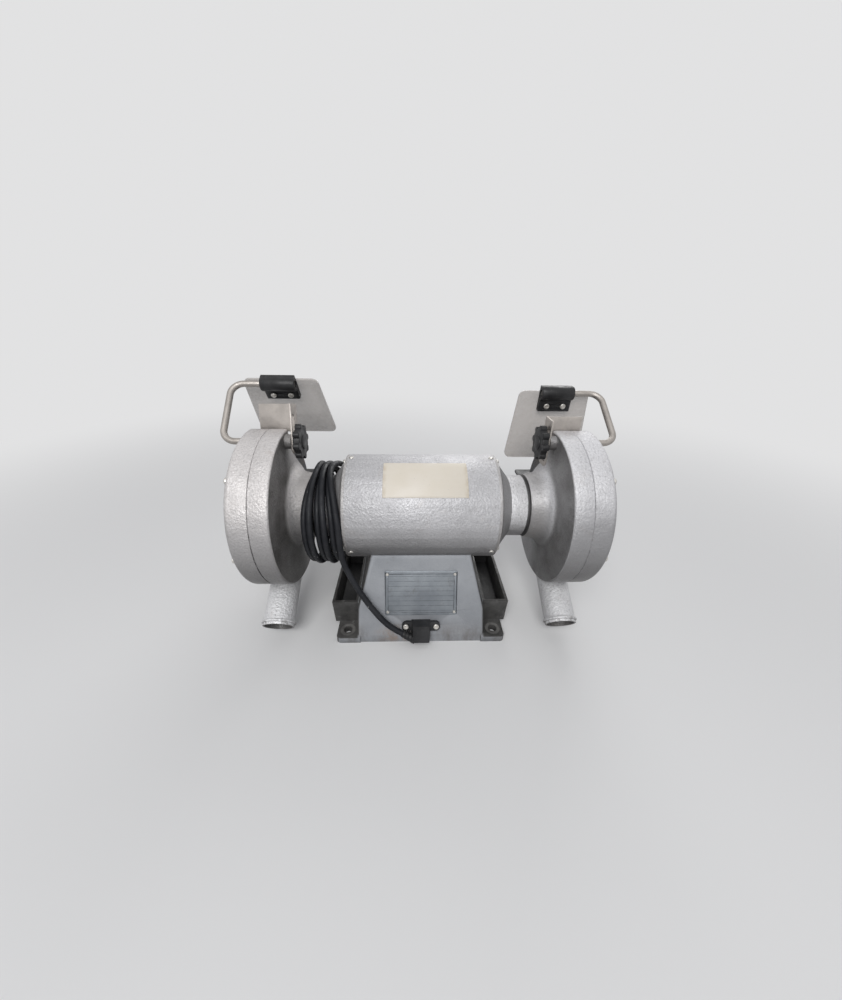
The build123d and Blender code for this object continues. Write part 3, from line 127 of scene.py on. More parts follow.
class Paint(Graph):
    """A material: a Principled shader and the textures that feed it."""

    def __init__(self, name, roughness=0.5, metallic=0.0):
        self.material = bpy.data.materials.new(name)
        self.material.use_nodes = True
        super().__init__(self.material.node_tree)
        self.shader = self.tree.nodes["Principled BSDF"]
        self.set("Roughness", roughness)
        self.set("Metallic", metallic)
        self.coordinates = self.node("ShaderNodeTexCoord").outputs

    def set(self, name, value):
        self.feed(self.shader.inputs[name], value)

    def part(self, vector, index):
        node = self.node("ShaderNodeSeparateXYZ")
        self.feed(node.inputs["Vector"], vector)
        return node.outputs[index]

    def at(self, index):
        """One coordinate of the place, in metres: 0 along the spindle, 1 to the operator, 2 up."""
        return self.part(self.coordinates["Object"], index)

    def facing(self, index):
        """One part of the direction that the surface faces."""
        return self.part(self.coordinates["Normal"], index)

    def size(self, value):
        return self.math("ABSOLUTE", value)

    def beside(self, value, place):
        """Step from a place in millimetres."""
        return self.math("SUBTRACT", value, place * MM)

    def stretched(self, x, y, z):
        mapping = self.node("ShaderNodeMapping")
        mapping.inputs["Scale"].default_value = (x, y, z)
        self.feed(mapping.inputs["Vector"], self.coordinates["Object"])
        return mapping.outputs["Vector"]

    def noise(self, scale, detail=3.0, roughness=0.55, vector=None, distortion=0.0):
        node = self.node("ShaderNodeTexNoise")
        self.feed(node.inputs["Vector"], vector or self.coordinates["Object"])
        node.inputs["Scale"].default_value = scale
        node.inputs["Detail"].default_value = detail
        node.inputs["Roughness"].default_value = roughness
        node.inputs["Distortion"].default_value = distortion
        return node.outputs["Fac"]

    def cells(self, scale):
        node = self.node("ShaderNodeTexVoronoi")
        self.feed(node.inputs["Vector"], self.coordinates["Object"])
        node.inputs["Scale"].default_value = scale
        return node.outputs["Distance"]

    def band(self, value, low, high, to_low=0.0, to_high=1.0):
        """Smooth step from to_low, at a value of low, to to_high, at a value of high."""
        node = self.node("ShaderNodeMapRange", interpolation_type="SMOOTHSTEP")
        self.feed(node.inputs["Value"], value)
        node.inputs["From Min"].default_value = low
        node.inputs["From Max"].default_value = high
        node.inputs["To Min"].default_value = to_low
        node.inputs["To Max"].default_value = to_high
        return node.outputs["Result"]

    def past(self, length, low, high, to_low=0.0, to_high=1.0):
        """The same smooth step for a length, with low and high in millimetres."""
        return self.band(length, low * MM, high * MM, to_low, to_high)

    def mix(self, factor, a, b):
        node = self.node("ShaderNodeMix", data_type="RGBA")
        self.feed(node.inputs["Factor"], factor)
        self.feed(node.inputs[6], colour(a) if isinstance(a, tuple) else a)
        self.feed(node.inputs[7], colour(b) if isinstance(b, tuple) else b)
        return node.outputs[2]

    def bump(self, height, distance, strength=1.0, before=None):
        node = self.node("ShaderNodeBump")
        self.feed(node.inputs["Height"], height)
        node.inputs["Distance"].default_value = distance
        node.inputs["Strength"].default_value = strength
        if before is not None:
            self.feed(node.inputs["Normal"], before)
        return node.outputs["Normal"]


# Painted castings: one coat of silver, then painted shade and dirt in the places that each casting names

REAR_HALF = (-25.0, 15.0)
BOSS_EDGE = (9.2, 10.8)
GROOVE_START, GROOVE_END = (138.0, 138.8), (140.8, 141.6)
SEAM_EDGE = (0.4, 1.0)
SEAM_FADE = (100.0, 240.0)
OUTLET_MOUTH = (middle("dust_outlet_right").x, -91.4, 28.9)
OUTLET_DIP = math.radians(31.6)
BORE_EDGE = (17.8, 18.6)
SOOTY_LIP = (0.0, 10.0)


def casting_paint(name, light, grime, *places):
    """Silver paint over a rough casting. Each place is a function that paints shade, dirt or both, with
    its values.
    """
    paint = Paint(name, metallic=0.3)
    tone = casting_tone(paint, light, grime)
    # Each function paints shade, dirt or both onto the tone.
    for dirt, *values in places:
        tone = dirt(paint, tone, *values)
    paint.set("Base Color", tone)
    paint.set("Roughness", paint.band(paint.noise(35, 5), 0.3, 0.75, 0.40, 0.60))
    waves = paint.bump(paint.noise(120, 3, 0.5), 0.0016, 0.30)
    peel = paint.bump(paint.noise(400, 3, 0.5), 0.0012, 0.8, waves)
    paint.set("Normal", paint.bump(paint.noise(1300, 2, 0.6), 0.0002, 0.4, peel))
    return paint.material


def casting_tone(paint, light, grime):
    """Broad tones, warm smudges, hammered grain, bright flecks, patches of grime and pinholes."""
    dark = tuple(0.84 * part for part in light)
    tone = paint.mix(paint.band(paint.noise(14, 4, 0.6), 0.35, 0.65), light, dark)
    smudge = paint.band(paint.noise(22, 5, 0.65, distortion=1.5), 0.56, 0.76, 0.0, 0.4)
    tone = paint.mix(smudge, tone, (0.49, 0.43, 0.39))
    grain = paint.noise(430, 3, 0.6)
    tone = paint.mix(paint.band(grain, 0.50, 0.70, 0.0, 0.42), tone, (0.30, 0.295, 0.30))
    tone = paint.mix(paint.band(grain, 0.28, 0.46, 0.36, 0.0), tone, (0.86, 0.86, 0.88))
    flecks = paint.band(paint.noise(1500, 2, 0.7), 0.40, 0.75, 0.0, 0.35)
    tone = paint.mix(flecks, tone, (0.86, 0.86, 0.87))
    patches = paint.band(paint.noise(70, 8, 0.75, distortion=0.6), 0.59, 0.80, 0.0, grime)
    tone = paint.mix(patches, tone, (0.16, 0.145, 0.13))
    pits = paint.band(paint.cells(170), 0.05, 0.13, 0.6, 0.0)
    spread = paint.band(paint.noise(45, 3), 0.53, 0.66)
    return paint.mix(paint.product(pits, spread), tone, (0.10, 0.09, 0.085))


def shaded_lower_rim(paint, tone, strength, fading, clean):
    """Painted shade low on a rim, where it faces away from the light above. It fades between two slopes
    and keeps off the flat sides.
    """
    low = paint.band(paint.facing(2), fading, clean, strength, 0.0)
    rim = paint.band(paint.size(paint.facing(0)), 0.60, 0.95, 1.0, 0.1)
    return paint.mix(paint.product(low, rim), tone, (0.30, 0.297, 0.305))


def painted_underside_shade(paint, tone):
    """Painted dark shade on what faces down."""
    return paint.mix(paint.band(paint.facing(2), -0.60, 0.30, 0.85, 0.0), tone, (0.17, 0.165, 0.165))


def flat_side_shade_and_dirt(paint, tone, strength):
    """Patchy black painted shade and dirt on the rear half of a flat side."""
    flat = paint.band(paint.size(paint.facing(0)), 0.80, 0.97, 0.0, strength)
    patches = paint.band(paint.noise(26, 5, 0.6), 0.2, 0.75, 1.0, 0.6)
    rear = paint.past(paint.at(1), *REAR_HALF, 1.0, 0.1)
    return paint.mix(paint.product(flat, patches, rear), tone, (0.085, 0.08, 0.075))


def shaded_sloping_end(paint, tone, strength):
    """Painted dark shade on what slopes to the side."""
    sloping = paint.band(paint.size(paint.facing(0)), 0.30, 0.62, 0.0, strength)
    return paint.mix(sloping, tone, (0.14, 0.135, 0.135))


def darker_inner_end(paint, tone, strength, fading, clean):
    """Brown darkening on the end near the motor, fading along the spindle."""
    inner = paint.past(paint.size(paint.at(0)), fading, clean, strength, 0.0)
    return paint.mix(inner, tone, (0.30, 0.285, 0.275))


def knob_boss_shade(paint, tone, knob):
    """Painted black shade on the boss behind a knob."""
    off = paint.distance(paint.beside(paint.at(1), knob.y), paint.beside(paint.at(2), knob.z))
    return paint.mix(paint.past(off, *BOSS_EDGE, 0.72, 0.0), tone, (0.10, 0.095, 0.09))


def neck_groove_shade_and_dirt(paint, tone):
    """Painted black shade and dirt in the groove between neck and guard."""
    across = paint.size(paint.at(0))
    groove = paint.math("SUBTRACT", paint.past(across, *GROOVE_START), paint.past(across, *GROOVE_END))
    return paint.mix(paint.product(groove, 0.85), tone, (0.03, 0.028, 0.028))


def shaded_bore_sooty_lip(paint, tone):
    """Painted shade inside a dust outlet's bore, and soot in patches on its lip."""
    x = paint.beside(paint.size(paint.at(0)), OUTLET_MOUTH[0])
    y = paint.beside(paint.at(1), OUTLET_MOUTH[1])
    z = paint.beside(paint.at(2), OUTLET_MOUTH[2])
    sine, cosine = math.sin(OUTLET_DIP), math.cos(OUTLET_DIP)
    rise = paint.math("SUBTRACT", paint.product(z, cosine), paint.product(y, sine))
    depth = paint.math("ADD", paint.product(y, cosine), paint.product(z, sine))
    bore = paint.past(paint.distance(x, rise), *BORE_EDGE, 0.9, 0.0)
    tone = paint.mix(bore, tone, (0.028, 0.026, 0.024))
    patches = paint.band(paint.noise(160, 6, 0.7), 0.45, 0.62, 0.0, 0.8)
    lip = paint.product(patches, paint.past(depth, *SOOTY_LIP, 1.0, 0.0))
    return paint.mix(lip, tone, (0.16, 0.15, 0.14))


def parting_line(paint, tone, strength):
    """Broken black dirt in the seam of a guard, thinning out upwards."""
    off = paint.size(paint.beside(paint.size(paint.at(0)), SEAM))
    line = paint.past(off, *SEAM_EDGE, strength, 0.0)
    broken = paint.band(paint.noise(70, 5, 0.7), 0.40, 0.60, 0.05, 1.0)
    upper = paint.past(paint.at(2), *SEAM_FADE, 1.0, 0.25)
    return paint.mix(paint.product(line, broken, upper), tone, (0.02, 0.018, 0.017))


# Pedestal paint: pale plates, black trays and feet

LOWER_PLATE, SMEARED_PLATE = (10.0, 75.0), (4.0, 34.0)
FOOT_HOLE = (101.0, 80.0)
HOLE_EDGE, WASHER_EDGE = (5.8, 6.6), (9.8, 10.6)
TRAY_START, TRAY_WALL, TRAY_END = (87.0, 90.0), (118.0, 119.0), (62.0, 63.0)
TRAY_WELL = (13.5, 45.0)
BESIDE_COLUMN = (84.5, 87.5)
FOOT_TOP = (8.8, 9.4)
RUST_X, RUST_UP, RUST_FLATNESS = -30.0, 10.0, 2.2
RUST_SPREAD = (8.0, 42.0)


def plate_tone(paint):
    """Blue-grey paint with flecks, dirty and smeared towards the bench."""
    height = paint.at(2)
    broad = paint.band(paint.noise(16, 5, 0.6), 0.3, 0.7)
    tone = paint.mix(broad, (0.375, 0.39, 0.415), (0.295, 0.31, 0.335))
    flecks = paint.band(paint.noise(2300, 2, 0.7), 0.4, 0.75, 0.0, 0.22)
    tone = paint.mix(flecks, tone, (0.62, 0.63, 0.63))
    tone = paint.mix(paint.past(height, *LOWER_PLATE, 0.15, 0.0), tone, (0.17, 0.165, 0.17))
    streaks = paint.band(paint.noise(30, 6, 0.7, paint.stretched(1.0, 1.0, 0.3)), 0.44, 0.70)
    smear = paint.product(paint.past(height, *SMEARED_PLATE, 0.6, 0.0), streaks)
    tone = paint.mix(smear, tone, (0.125, 0.105, 0.09))
    dust = paint.band(paint.noise(75, 8, 0.72), 0.56, 0.78, 0.0, 0.45)
    return paint.mix(dust, tone, (0.15, 0.14, 0.13))


def tray_tone(paint, hole_radius):
    """Black grime and painted shade, rubbed in places, with a ring round each foot hole and a darker
    tray bottom.
    """
    across, along = paint.size(paint.at(0)), paint.size(paint.at(1))
    broad = paint.band(paint.noise(40, 7, 0.7), 0.35, 0.7)
    tone = paint.mix(broad, (0.085, 0.083, 0.080), (0.036, 0.035, 0.034))
    rubbed = paint.band(paint.noise(90, 6, 0.65), 0.60, 0.74, 0.0, 0.55)
    tone = paint.mix(rubbed, tone, (0.21, 0.205, 0.20))
    washer = paint.past(hole_radius, *WASHER_EDGE)
    ring = paint.math("SUBTRACT", paint.past(hole_radius, *HOLE_EDGE), washer)
    ring = paint.product(ring, paint.band(paint.noise(200, 5, 0.65), 0.3, 0.6, 0.35, 0.9))
    tone = paint.mix(ring, tone, (0.17, 0.166, 0.16))
    well = paint.past(paint.at(2), *TRAY_WELL, 0.85, 0.0)
    inside = paint.product(paint.past(across, *TRAY_START), paint.past(across, *TRAY_WALL, 1.0, 0.0))
    inside = paint.product(inside, paint.past(along, *TRAY_END, 1.0, 0.0))
    return paint.mix(paint.product(well, inside), tone, (0.016, 0.016, 0.017))


def black_dirt_and_shade_share(paint, hole_radius):
    """1 where black dirt and painted shade go: the pedestal's sides, trays and feet, less on the feet's
    end edges.
    """
    sides = paint.band(paint.size(paint.facing(0)), 0.35, 0.75)
    feet = paint.past(paint.size(paint.at(0)), *BESIDE_COLUMN)
    edge = paint.product(
        paint.band(paint.size(paint.facing(1)), 0.75, 0.9),
        paint.past(paint.at(2), *FOOT_TOP, 1.0, 0.0),
        paint.past(hole_radius, *HOLE_EDGE),
    )
    feet = paint.product(feet, paint.math("SUBTRACT", 1.0, paint.product(edge, 0.85)))
    return paint.math("MAXIMUM", sides, feet)


def pedestal_paint(name):
    """Pale plates, black trays and feet, and a rusty stain low on the rear plate."""
    paint = Paint(name, metallic=0.2)
    from_hole = (paint.beside(paint.size(paint.at(index)), FOOT_HOLE[index]) for index in (0, 1))
    hole_radius = paint.distance(*from_hole)
    black_dirt_and_shade = tray_tone(paint, hole_radius)
    tone = paint.mix(black_dirt_and_shade_share(paint, hole_radius), plate_tone(paint), black_dirt_and_shade)
    rise = paint.product(paint.beside(paint.at(2), RUST_UP), RUST_FLATNESS)
    off = paint.distance(paint.beside(paint.at(0), RUST_X), rise)
    rust = paint.product(
        paint.past(off, *RUST_SPREAD, 0.55, 0.0),
        paint.band(paint.noise(85, 6, 0.7), 0.38, 0.62),
        paint.band(paint.facing(1), -0.9, -0.7, 1.0, 0.0),
    )
    paint.set("Base Color", paint.mix(rust, tone, (0.30, 0.20, 0.13)))
    paint.set("Roughness", paint.band(paint.noise(50, 5), 0.3, 0.75, 0.42, 0.68))
    peel = paint.bump(paint.noise(380, 3, 0.5), 0.0006, 0.35)
    paint.set("Normal", paint.bump(paint.noise(1500, 2, 0.6), 0.0002, 0.35, peel))
    return paint.material


# Metals, plastics, rubber and the other materials

def plated_metal(name, base, roughness=0.34, dull=0.35, stain=(0.30, 0.27, 0.23)):
    """Plated or bare metal with fine scratches, dull patches and a little staining."""
    paint = Paint(name, metallic=0.95)
    patches = paint.band(paint.noise(55, 6, 0.65), 0.4, 0.7, 0.0, dull)
    tone = paint.mix(patches, base, tuple(0.62 * part for part in base))
    spots = paint.band(paint.noise(210, 6, 0.7), 0.60, 0.76, 0.0, 0.6)
    paint.set("Base Color", paint.mix(spots, tone, stain))
    gloss = paint.noise(120, 6, 0.7)
    paint.set("Roughness", paint.band(gloss, 0.3, 0.7, roughness - 0.08, roughness + 0.16))
    scratches = paint.noise(900, 3, 0.6, paint.stretched(0.08, 1.0, 1.0))
    paint.set("Normal", paint.bump(scratches, 0.0001, 0.35))
    return paint.material


def moulded_plastic(name, base, worn, roughness=0.42, dusty=0.4):
    """Moulded plastic with a fine grain, scuffs and dust that stays in the grain."""
    paint = Paint(name)
    paint.set("Specular IOR Level", 0.35)
    scuffs = paint.band(paint.noise(150, 7, 0.7), 0.56, 0.74, 0.0, dusty)
    tone = paint.mix(scuffs, base, worn)
    grey = tuple(min(1.0, 2.2 * part + 0.02) for part in base)
    tone = paint.mix(paint.band(paint.noise(30, 4), 0.45, 0.75, 0.0, 0.6), tone, grey)
    specks = paint.band(paint.cells(420), 0.06, 0.13, dusty, 0.0)
    spread = paint.band(paint.noise(70, 3), 0.56, 0.66)
    paint.set("Base Color", paint.mix(paint.product(specks, spread), tone, (0.55, 0.53, 0.50)))
    gloss = paint.noise(90, 5)
    paint.set("Roughness", paint.band(gloss, 0.3, 0.7, roughness - 0.08, roughness + 0.2))
    paint.set("Normal", paint.bump(paint.noise(1700, 3, 0.6), 0.00016, 0.5))
    return paint.material


def cord_rubber(name):
    """Matte rubber sheath, scuffed and dusty, with a few drops of paint."""
    paint = Paint(name)
    paint.set("Specular IOR Level", 0.28)
    broad = paint.band(paint.noise(40, 5), 0.35, 0.7)
    tone = paint.mix(broad, (0.010, 0.011, 0.014), (0.024, 0.025, 0.029))
    dust = paint.band(paint.noise(240, 7, 0.75), 0.58, 0.76, 0.0, 0.42)
    tone = paint.mix(dust, tone, (0.17, 0.17, 0.17))
    drops = paint.band(paint.cells(190), 0.08, 0.14, 0.9, 0.0)
    spread = paint.band(paint.noise(38, 2), 0.58, 0.64)
    paint.set("Base Color", paint.mix(paint.product(drops, spread), tone, (0.62, 0.61, 0.60)))
    paint.set("Roughness", paint.band(paint.noise(110, 5), 0.3, 0.7, 0.40, 0.66))
    paint.set("Normal", paint.bump(paint.noise(700, 3, 0.6), 0.0002, 0.45))
    return paint.material


def hazed_pane(name):
    """Clear plastic pane, hazed by dust and fine scratches."""
    paint = Paint(name)
    paint.set("IOR", 1.49)
    film = paint.noise(18, 6, 0.65)
    tone = paint.mix(paint.band(film, 0.3, 0.7), (0.50, 0.455, 0.42), (0.60, 0.565, 0.54))
    marks = paint.band(paint.noise(160, 6, 0.7), 0.55, 0.75, 0.0, 0.5)
    paint.set("Base Color", paint.mix(marks, tone, (0.40, 0.37, 0.33)))
    scratches = paint.noise(420, 4, 0.7, paint.stretched(0.1, 1.0, 1.0))
    haze = paint.band(film, 0.3, 0.75, 0.48, 0.64)
    paint.set("Alpha", paint.math("ADD", haze, paint.band(scratches, 0.62, 0.75, 0.0, 0.15)))
    paint.set("Roughness", paint.band(film, 0.3, 0.7, 0.16, 0.34))
    paint.set("Normal", paint.bump(scratches, 0.00006, 0.3))
    return paint.material


def abrasive(name):
    """Vitrified grit: grey grains of mixed tone with open pores."""
    paint = Paint(name, roughness=0.9)
    grains = paint.cells(1500)
    tone = paint.mix(paint.band(grains, 0.1, 0.6), (0.33, 0.33, 0.34), (0.13, 0.13, 0.135))
    tone = paint.mix(paint.band(paint.noise(60, 4), 0.45, 0.7, 0.0, 0.5), tone, (0.24, 0.21, 0.18))
    glints = paint.band(paint.noise(3000, 1), 0.66, 0.74, 0.0, 0.7)
    paint.set("Base Color", paint.mix(glints, tone, (0.62, 0.62, 0.63)))
    paint.set("Normal", paint.bump(grains, 0.0006, 0.8))
    return paint.material


def wire_copper(name):
    """Enamelled wire laid in fine strands."""
    paint = Paint(name, roughness=0.35, metallic=0.8)
    strands = paint.noise(700, 3, 0.6, paint.stretched(1.0, 0.15, 0.15))
    tone = paint.mix(paint.band(strands, 0.35, 0.65), (0.52, 0.22, 0.09), (0.28, 0.10, 0.04))
    paint.set("Base Color", tone)
    paint.set("Normal", paint.bump(strands, 0.0005, 0.8))
    return paint.material


def laminated_core(name):
    """Stacked steel sheets seen on edge."""
    paint = Paint(name, roughness=0.5, metallic=0.8)
    sheets = paint.noise(1, 2, 0.5, paint.stretched(1800.0, 8.0, 8.0))
    tone = paint.mix(paint.band(sheets, 0.35, 0.65), (0.27, 0.27, 0.28), (0.14, 0.13, 0.13))
    paint.set("Base Color", tone)
    paint.set("Normal", paint.bump(sheets, 0.0002, 0.6))
    return paint.material


PLATE_UP = 71.2
FORM_HALF_WIDTH, FORM_HALF_HEIGHT = 43.8, 27.0
FORM_LINE, FORM_LINE_SOFT = 0.8, 0.3
ROW_SPACING = 7.0
ROW_LINE = (0.15, 0.3)


def plain_plate(name):
    """Anodised plate with an empty ruled form: a frame and bare lines, no words."""
    paint = Paint(name, metallic=0.55)
    across = paint.size(paint.at(0))
    up = paint.product(paint.at(2), 1.0 / math.cos(LEAN))
    along = paint.size(paint.beside(up, PLATE_UP))

    def outside(grown):
        """1 outside the form when its frame is grown by a length."""
        wide, high = FORM_HALF_WIDTH + grown, FORM_HALF_HEIGHT + grown
        beside = paint.past(across, wide, wide + FORM_LINE_SOFT)
        return paint.math("MAXIMUM", beside, paint.past(along, high, high + FORM_LINE_SOFT))

    broad = paint.band(paint.noise(26, 5, 0.6), 0.3, 0.7)
    tone = paint.mix(broad, (0.31, 0.335, 0.36), (0.22, 0.24, 0.265))
    past_form = outside(0.0)
    frame_line = paint.math("SUBTRACT", past_form, outside(FORM_LINE))
    half = ROW_SPACING / 2
    off_row = paint.math("PINGPONG", paint.beside(up, PLATE_UP + half), half * MM)
    row_line = paint.past(off_row, *ROW_LINE, 1.0, 0.0)
    row_line = paint.product(row_line, paint.math("SUBTRACT", 1.0, past_form))
    lines = paint.math("MAXIMUM", frame_line, row_line)
    ink = paint.product(lines, paint.band(paint.noise(140, 5), 0.3, 0.6, 0.35, 0.85))
    tone = paint.mix(ink, tone, (0.05, 0.052, 0.06))
    dirt = paint.band(paint.noise(90, 7, 0.7), 0.55, 0.75, 0.0, 0.5)
    paint.set("Base Color", paint.mix(dirt, tone, (0.16, 0.15, 0.14)))
    paint.set("Roughness", paint.band(paint.noise(70, 5), 0.3, 0.7, 0.32, 0.52))
    brushed = paint.noise(900, 3, 0.6, paint.stretched(0.1, 1.0, 1.0))
    paint.set("Normal", paint.bump(brushed, 0.00008, 0.4))
    return paint.material


LABEL_MIDDLE = middle("sticker").x
LABEL_EDGE = (46.0, 52.0)


def blank_label(name):
    """Cream film label, left blank, yellowed at its ends."""
    paint = Paint(name, roughness=0.45)
    broad = paint.band(paint.noise(24, 5, 0.6), 0.3, 0.7)
    tone = paint.mix(broad, (0.80, 0.745, 0.66), (0.76, 0.70, 0.60))
    ends = paint.past(paint.size(paint.beside(paint.at(0), LABEL_MIDDLE)), *LABEL_EDGE, 0.0, 0.55)
    aged = paint.product(ends, paint.band(paint.noise(90, 5), 0.3, 0.6))
    tone = paint.mix(aged, tone, (0.52, 0.43, 0.31))
    scuffs = paint.band(paint.noise(200, 7, 0.72), 0.60, 0.74, 0.0, 0.4)
    paint.set("Base Color", paint.mix(scuffs, tone, (0.45, 0.42, 0.38)))
    paint.set("Normal", paint.bump(paint.noise(260, 3), 0.0002, 0.25))
    return paint.material


# Finish of each node. Those that are not named here are plated steel

# One silver paint in lit and shaded copies: the left guard darker and warmer, the right brighter and
# cooler.
SILVER_AS_LIT = {"left": (0.66, 0.63, 0.618), "right": (0.75, 0.745, 0.765)}
COVER_GRIME = 0.5
GUARD_GRIME = {"left": 0.55, "right": 0.5}
# Painted shade low on each rim: its strength and the two slopes where it fades.
RIM_SHADE = {"left": (0.55, 0.08, 0.52), "right": (0.80, 0.20, 0.70)}
# Painted shade and dirt on each flat side, stronger on the left guard, where less light falls.
SIDE_SHADE_AND_DIRT = {"left": 0.95, "right": 0.82}
HUB_DARKENING = {"left": (0.42, 152.0, 166.0), "right": (0.50, 152.0, 166.0)}
SHIELD_DARKENING = (0.72, 99.0, 103.0)
SEAM_DIRT = {"left": 0.95, "right": 0.3}

# The same silver in lit and shaded copies: brighter on the end shields and outlets, darker on the
# barrel.
hub_paint = casting_paint(
    "hub_paint",
    (0.88, 0.875, 0.89),
    0.3,
    (painted_underside_shade,),
    (shaded_sloping_end, 0.66),
    (darker_inner_end, *SHIELD_DARKENING),
    (neck_groove_shade_and_dirt,),
)
motor_paint = casting_paint("motor_paint", (0.57, 0.565, 0.58), 0.35, (painted_underside_shade,), (shaded_sloping_end, 0.45))
outlet_paint = casting_paint("outlet_paint", (0.85, 0.85, 0.86), 0.6, (painted_underside_shade,), (shaded_bore_sooty_lip,))
plated = plated_metal("plated_steel", (0.66, 0.64, 0.60))
rod_metal = plated_metal("rod_steel", (0.43, 0.40, 0.372), 0.46, 0.45, (0.28, 0.24, 0.19))
sheet_metal = plated_metal("sheet_steel", (0.48, 0.445, 0.415), 0.50, 0.45, (0.30, 0.25, 0.20))
ground = plated_metal("ground_steel", (0.58, 0.58, 0.58), 0.28)
black = moulded_plastic("black_plastic", (0.014, 0.014, 0.015), (0.075, 0.073, 0.07))
white = moulded_plastic("white_plastic", (0.62, 0.61, 0.57), (0.44, 0.42, 0.38), 0.4, 0.25)
green = moulded_plastic("green_plastic", (0.02, 0.20, 0.055), (0.06, 0.24, 0.10), 0.3, 0.3)
red = moulded_plastic("red_plastic", (0.36, 0.018, 0.014), (0.40, 0.08, 0.06), 0.3, 0.3)
rest_paint = moulded_plastic("rest_paint", (0.022, 0.022, 0.023), (0.20, 0.19, 0.18), 0.45, 0.5)
rubber = cord_rubber("cord_rubber")
pane = hazed_pane("clear_plastic")
grit = abrasive("abrasive")
core = laminated_core("core_steel")

FINISH = {
    "pedestal": pedestal_paint("pedestal_paint"),
    "motor_body": motor_paint,
    "nameplate": plain_plate("plate_metal"),
    "sticker": blank_label("label"),
    "strain_relief": black,
    "switch_housing": black,
    "start_button": green,
    "stop_button": red,
    "stator_core": core,
    "rotor": core,
    "stator_windings": wire_copper("copper"),
    "capacitor": white,
    "terminal_block": white,
    "plug": rubber,
    "plug_pins": plated_metal("brass", (0.78, 0.58, 0.26), 0.3),
}
for name in ("shaft", "bearing_outer_rings", "bearing_inner_rings", "bearing_balls", "wheel_flanges"):
    FINISH[name] = ground
for side in SIDES:
    # Painted shade low on the rims and on what faces down.
    lower_shade = ((shaded_lower_rim, *RIM_SHADE[side]), (painted_underside_shade,))
    seam_dirt = (parting_line, SEAM_DIRT[side])
    FINISH[f"guard_{side}"] = casting_paint(
        f"guard_paint_{side}",
        SILVER_AS_LIT[side],
        GUARD_GRIME[side],
        *lower_shade,
        (flat_side_shade_and_dirt, SIDE_SHADE_AND_DIRT[side]),
        (darker_inner_end, *HUB_DARKENING[side]),
        (knob_boss_shade, middle(f"knob_{side}")),
        (neck_groove_shade_and_dirt,),
        seam_dirt,
    )
    FINISH[f"guard_cover_{side}"] = casting_paint(
        f"cover_paint_{side}", SILVER_AS_LIT[side], COVER_GRIME, *lower_shade, seam_dirt
    )
    FINISH[f"end_shield_{side}"] = hub_paint
    FINISH[f"dust_outlet_{side}"] = outlet_paint
    FINISH[f"arrestor_{side}"] = sheet_metal
    FINISH[f"shield_rod_{side}"] = rod_metal
    FINISH[f"shield_clamp_{side}"] = black
    FINISH[f"eye_shield_{side}"] = pane
    FINISH[f"knob_{side}"] = black
    FINISH[f"tool_rest_{side}"] = rest_paint
    FINISH[f"wheel_{side}"] = grit

# Width of the rounded edges

SMALL_EDGE = 0.25
EDGE = {"pedestal": 0.9, "strain_relief": 0.8, "switch_housing": 0.8}
for side in SIDES:
    EDGE[f"guard_{side}"] = 0.8
    EDGE[f"end_shield_{side}"] = 0.7
    EDGE[f"knob_{side}"] = 0.6
    EDGE[f"shield_clamp_{side}"] = 0.9
    EDGE[f"tool_rest_{side}"] = 0.5
WELD_REACH = 0.002
SMOOTH_ANGLE, EDGE_ANGLE = math.radians(32), math.radians(40)


def smooth(mesh):
    for polygon in mesh.polygons:
        polygon.use_smooth = True


def soften(obj, width):
    """Join the split facets and round the hard edges a little, without changing the mesh itself."""
    smooth(obj.data)
    obj.data.set_sharp_from_angle(angle=SMOOTH_ANGLE)
    weld = obj.modifiers.new("weld", "WELD")
    weld.merge_threshold = WELD_REACH * MM
    bevel = obj.modifiers.new("bevel", "BEVEL")
    bevel.width = width * MM
    bevel.segments = 2
    bevel.limit_method = "ANGLE"
    bevel.angle_limit = EDGE_ANGLE
    bevel.harden_normals = True


for name, obj in nodes.items():
    obj.data.materials.clear()
    obj.data.materials.append(FINISH.get(name, plated))
    soften(obj, EDGE.get(name, SMALL_EDGE))


# Small screws that hold the barrel on its end shields: three round each end

SCREWS_PER_END = 3
SCREW_FROM_END = 3.5
HEAD_RADIUS, HEAD_HEIGHT = 3.2, 1.5
HEAD_PROFILE = ((1.0, 0.0), (1.0, 0.45), (0.82, 0.82), (0.42, 1.0))
HEAD_SIDES = 24
SLOT_HALF_WIDTH, SLOT_DEPTH, SLOT_ABOVE = 0.48, 0.6, 0.75


def screw_head(name):
    """A domed head with a slot across it, standing on the plane z = 0."""
    mesh = bmesh.new()
    turns = [2 * math.pi * step / HEAD_SIDES for step in range(HEAD_SIDES)]
    rings = []
    for share, rise in HEAD_PROFILE:
        radius, height = HEAD_RADIUS * share, HEAD_HEIGHT * rise
        ring = [Vector((radius * math.cos(turn), radius * math.sin(turn), height)) for turn in turns]
        rings.append([mesh.verts.new(point * MM) for point in ring])
    for low, high in zip(rings, rings[1:]):
        for step in range(HEAD_SIDES):
            after = (step + 1) % HEAD_SIDES
            mesh.faces.new((low[step], low[after], high[after], high[step]))
    mesh.faces.new(rings[-1])
    for vert in mesh.verts:
        if abs(vert.co.y) < SLOT_HALF_WIDTH * MM and vert.co.z > SLOT_ABOVE * MM:
            vert.co.z -= SLOT_DEPTH * MM
    data = bpy.data.meshes.new(name)
    mesh.to_mesh(data)
    mesh.free()
    smooth(data)
    return data


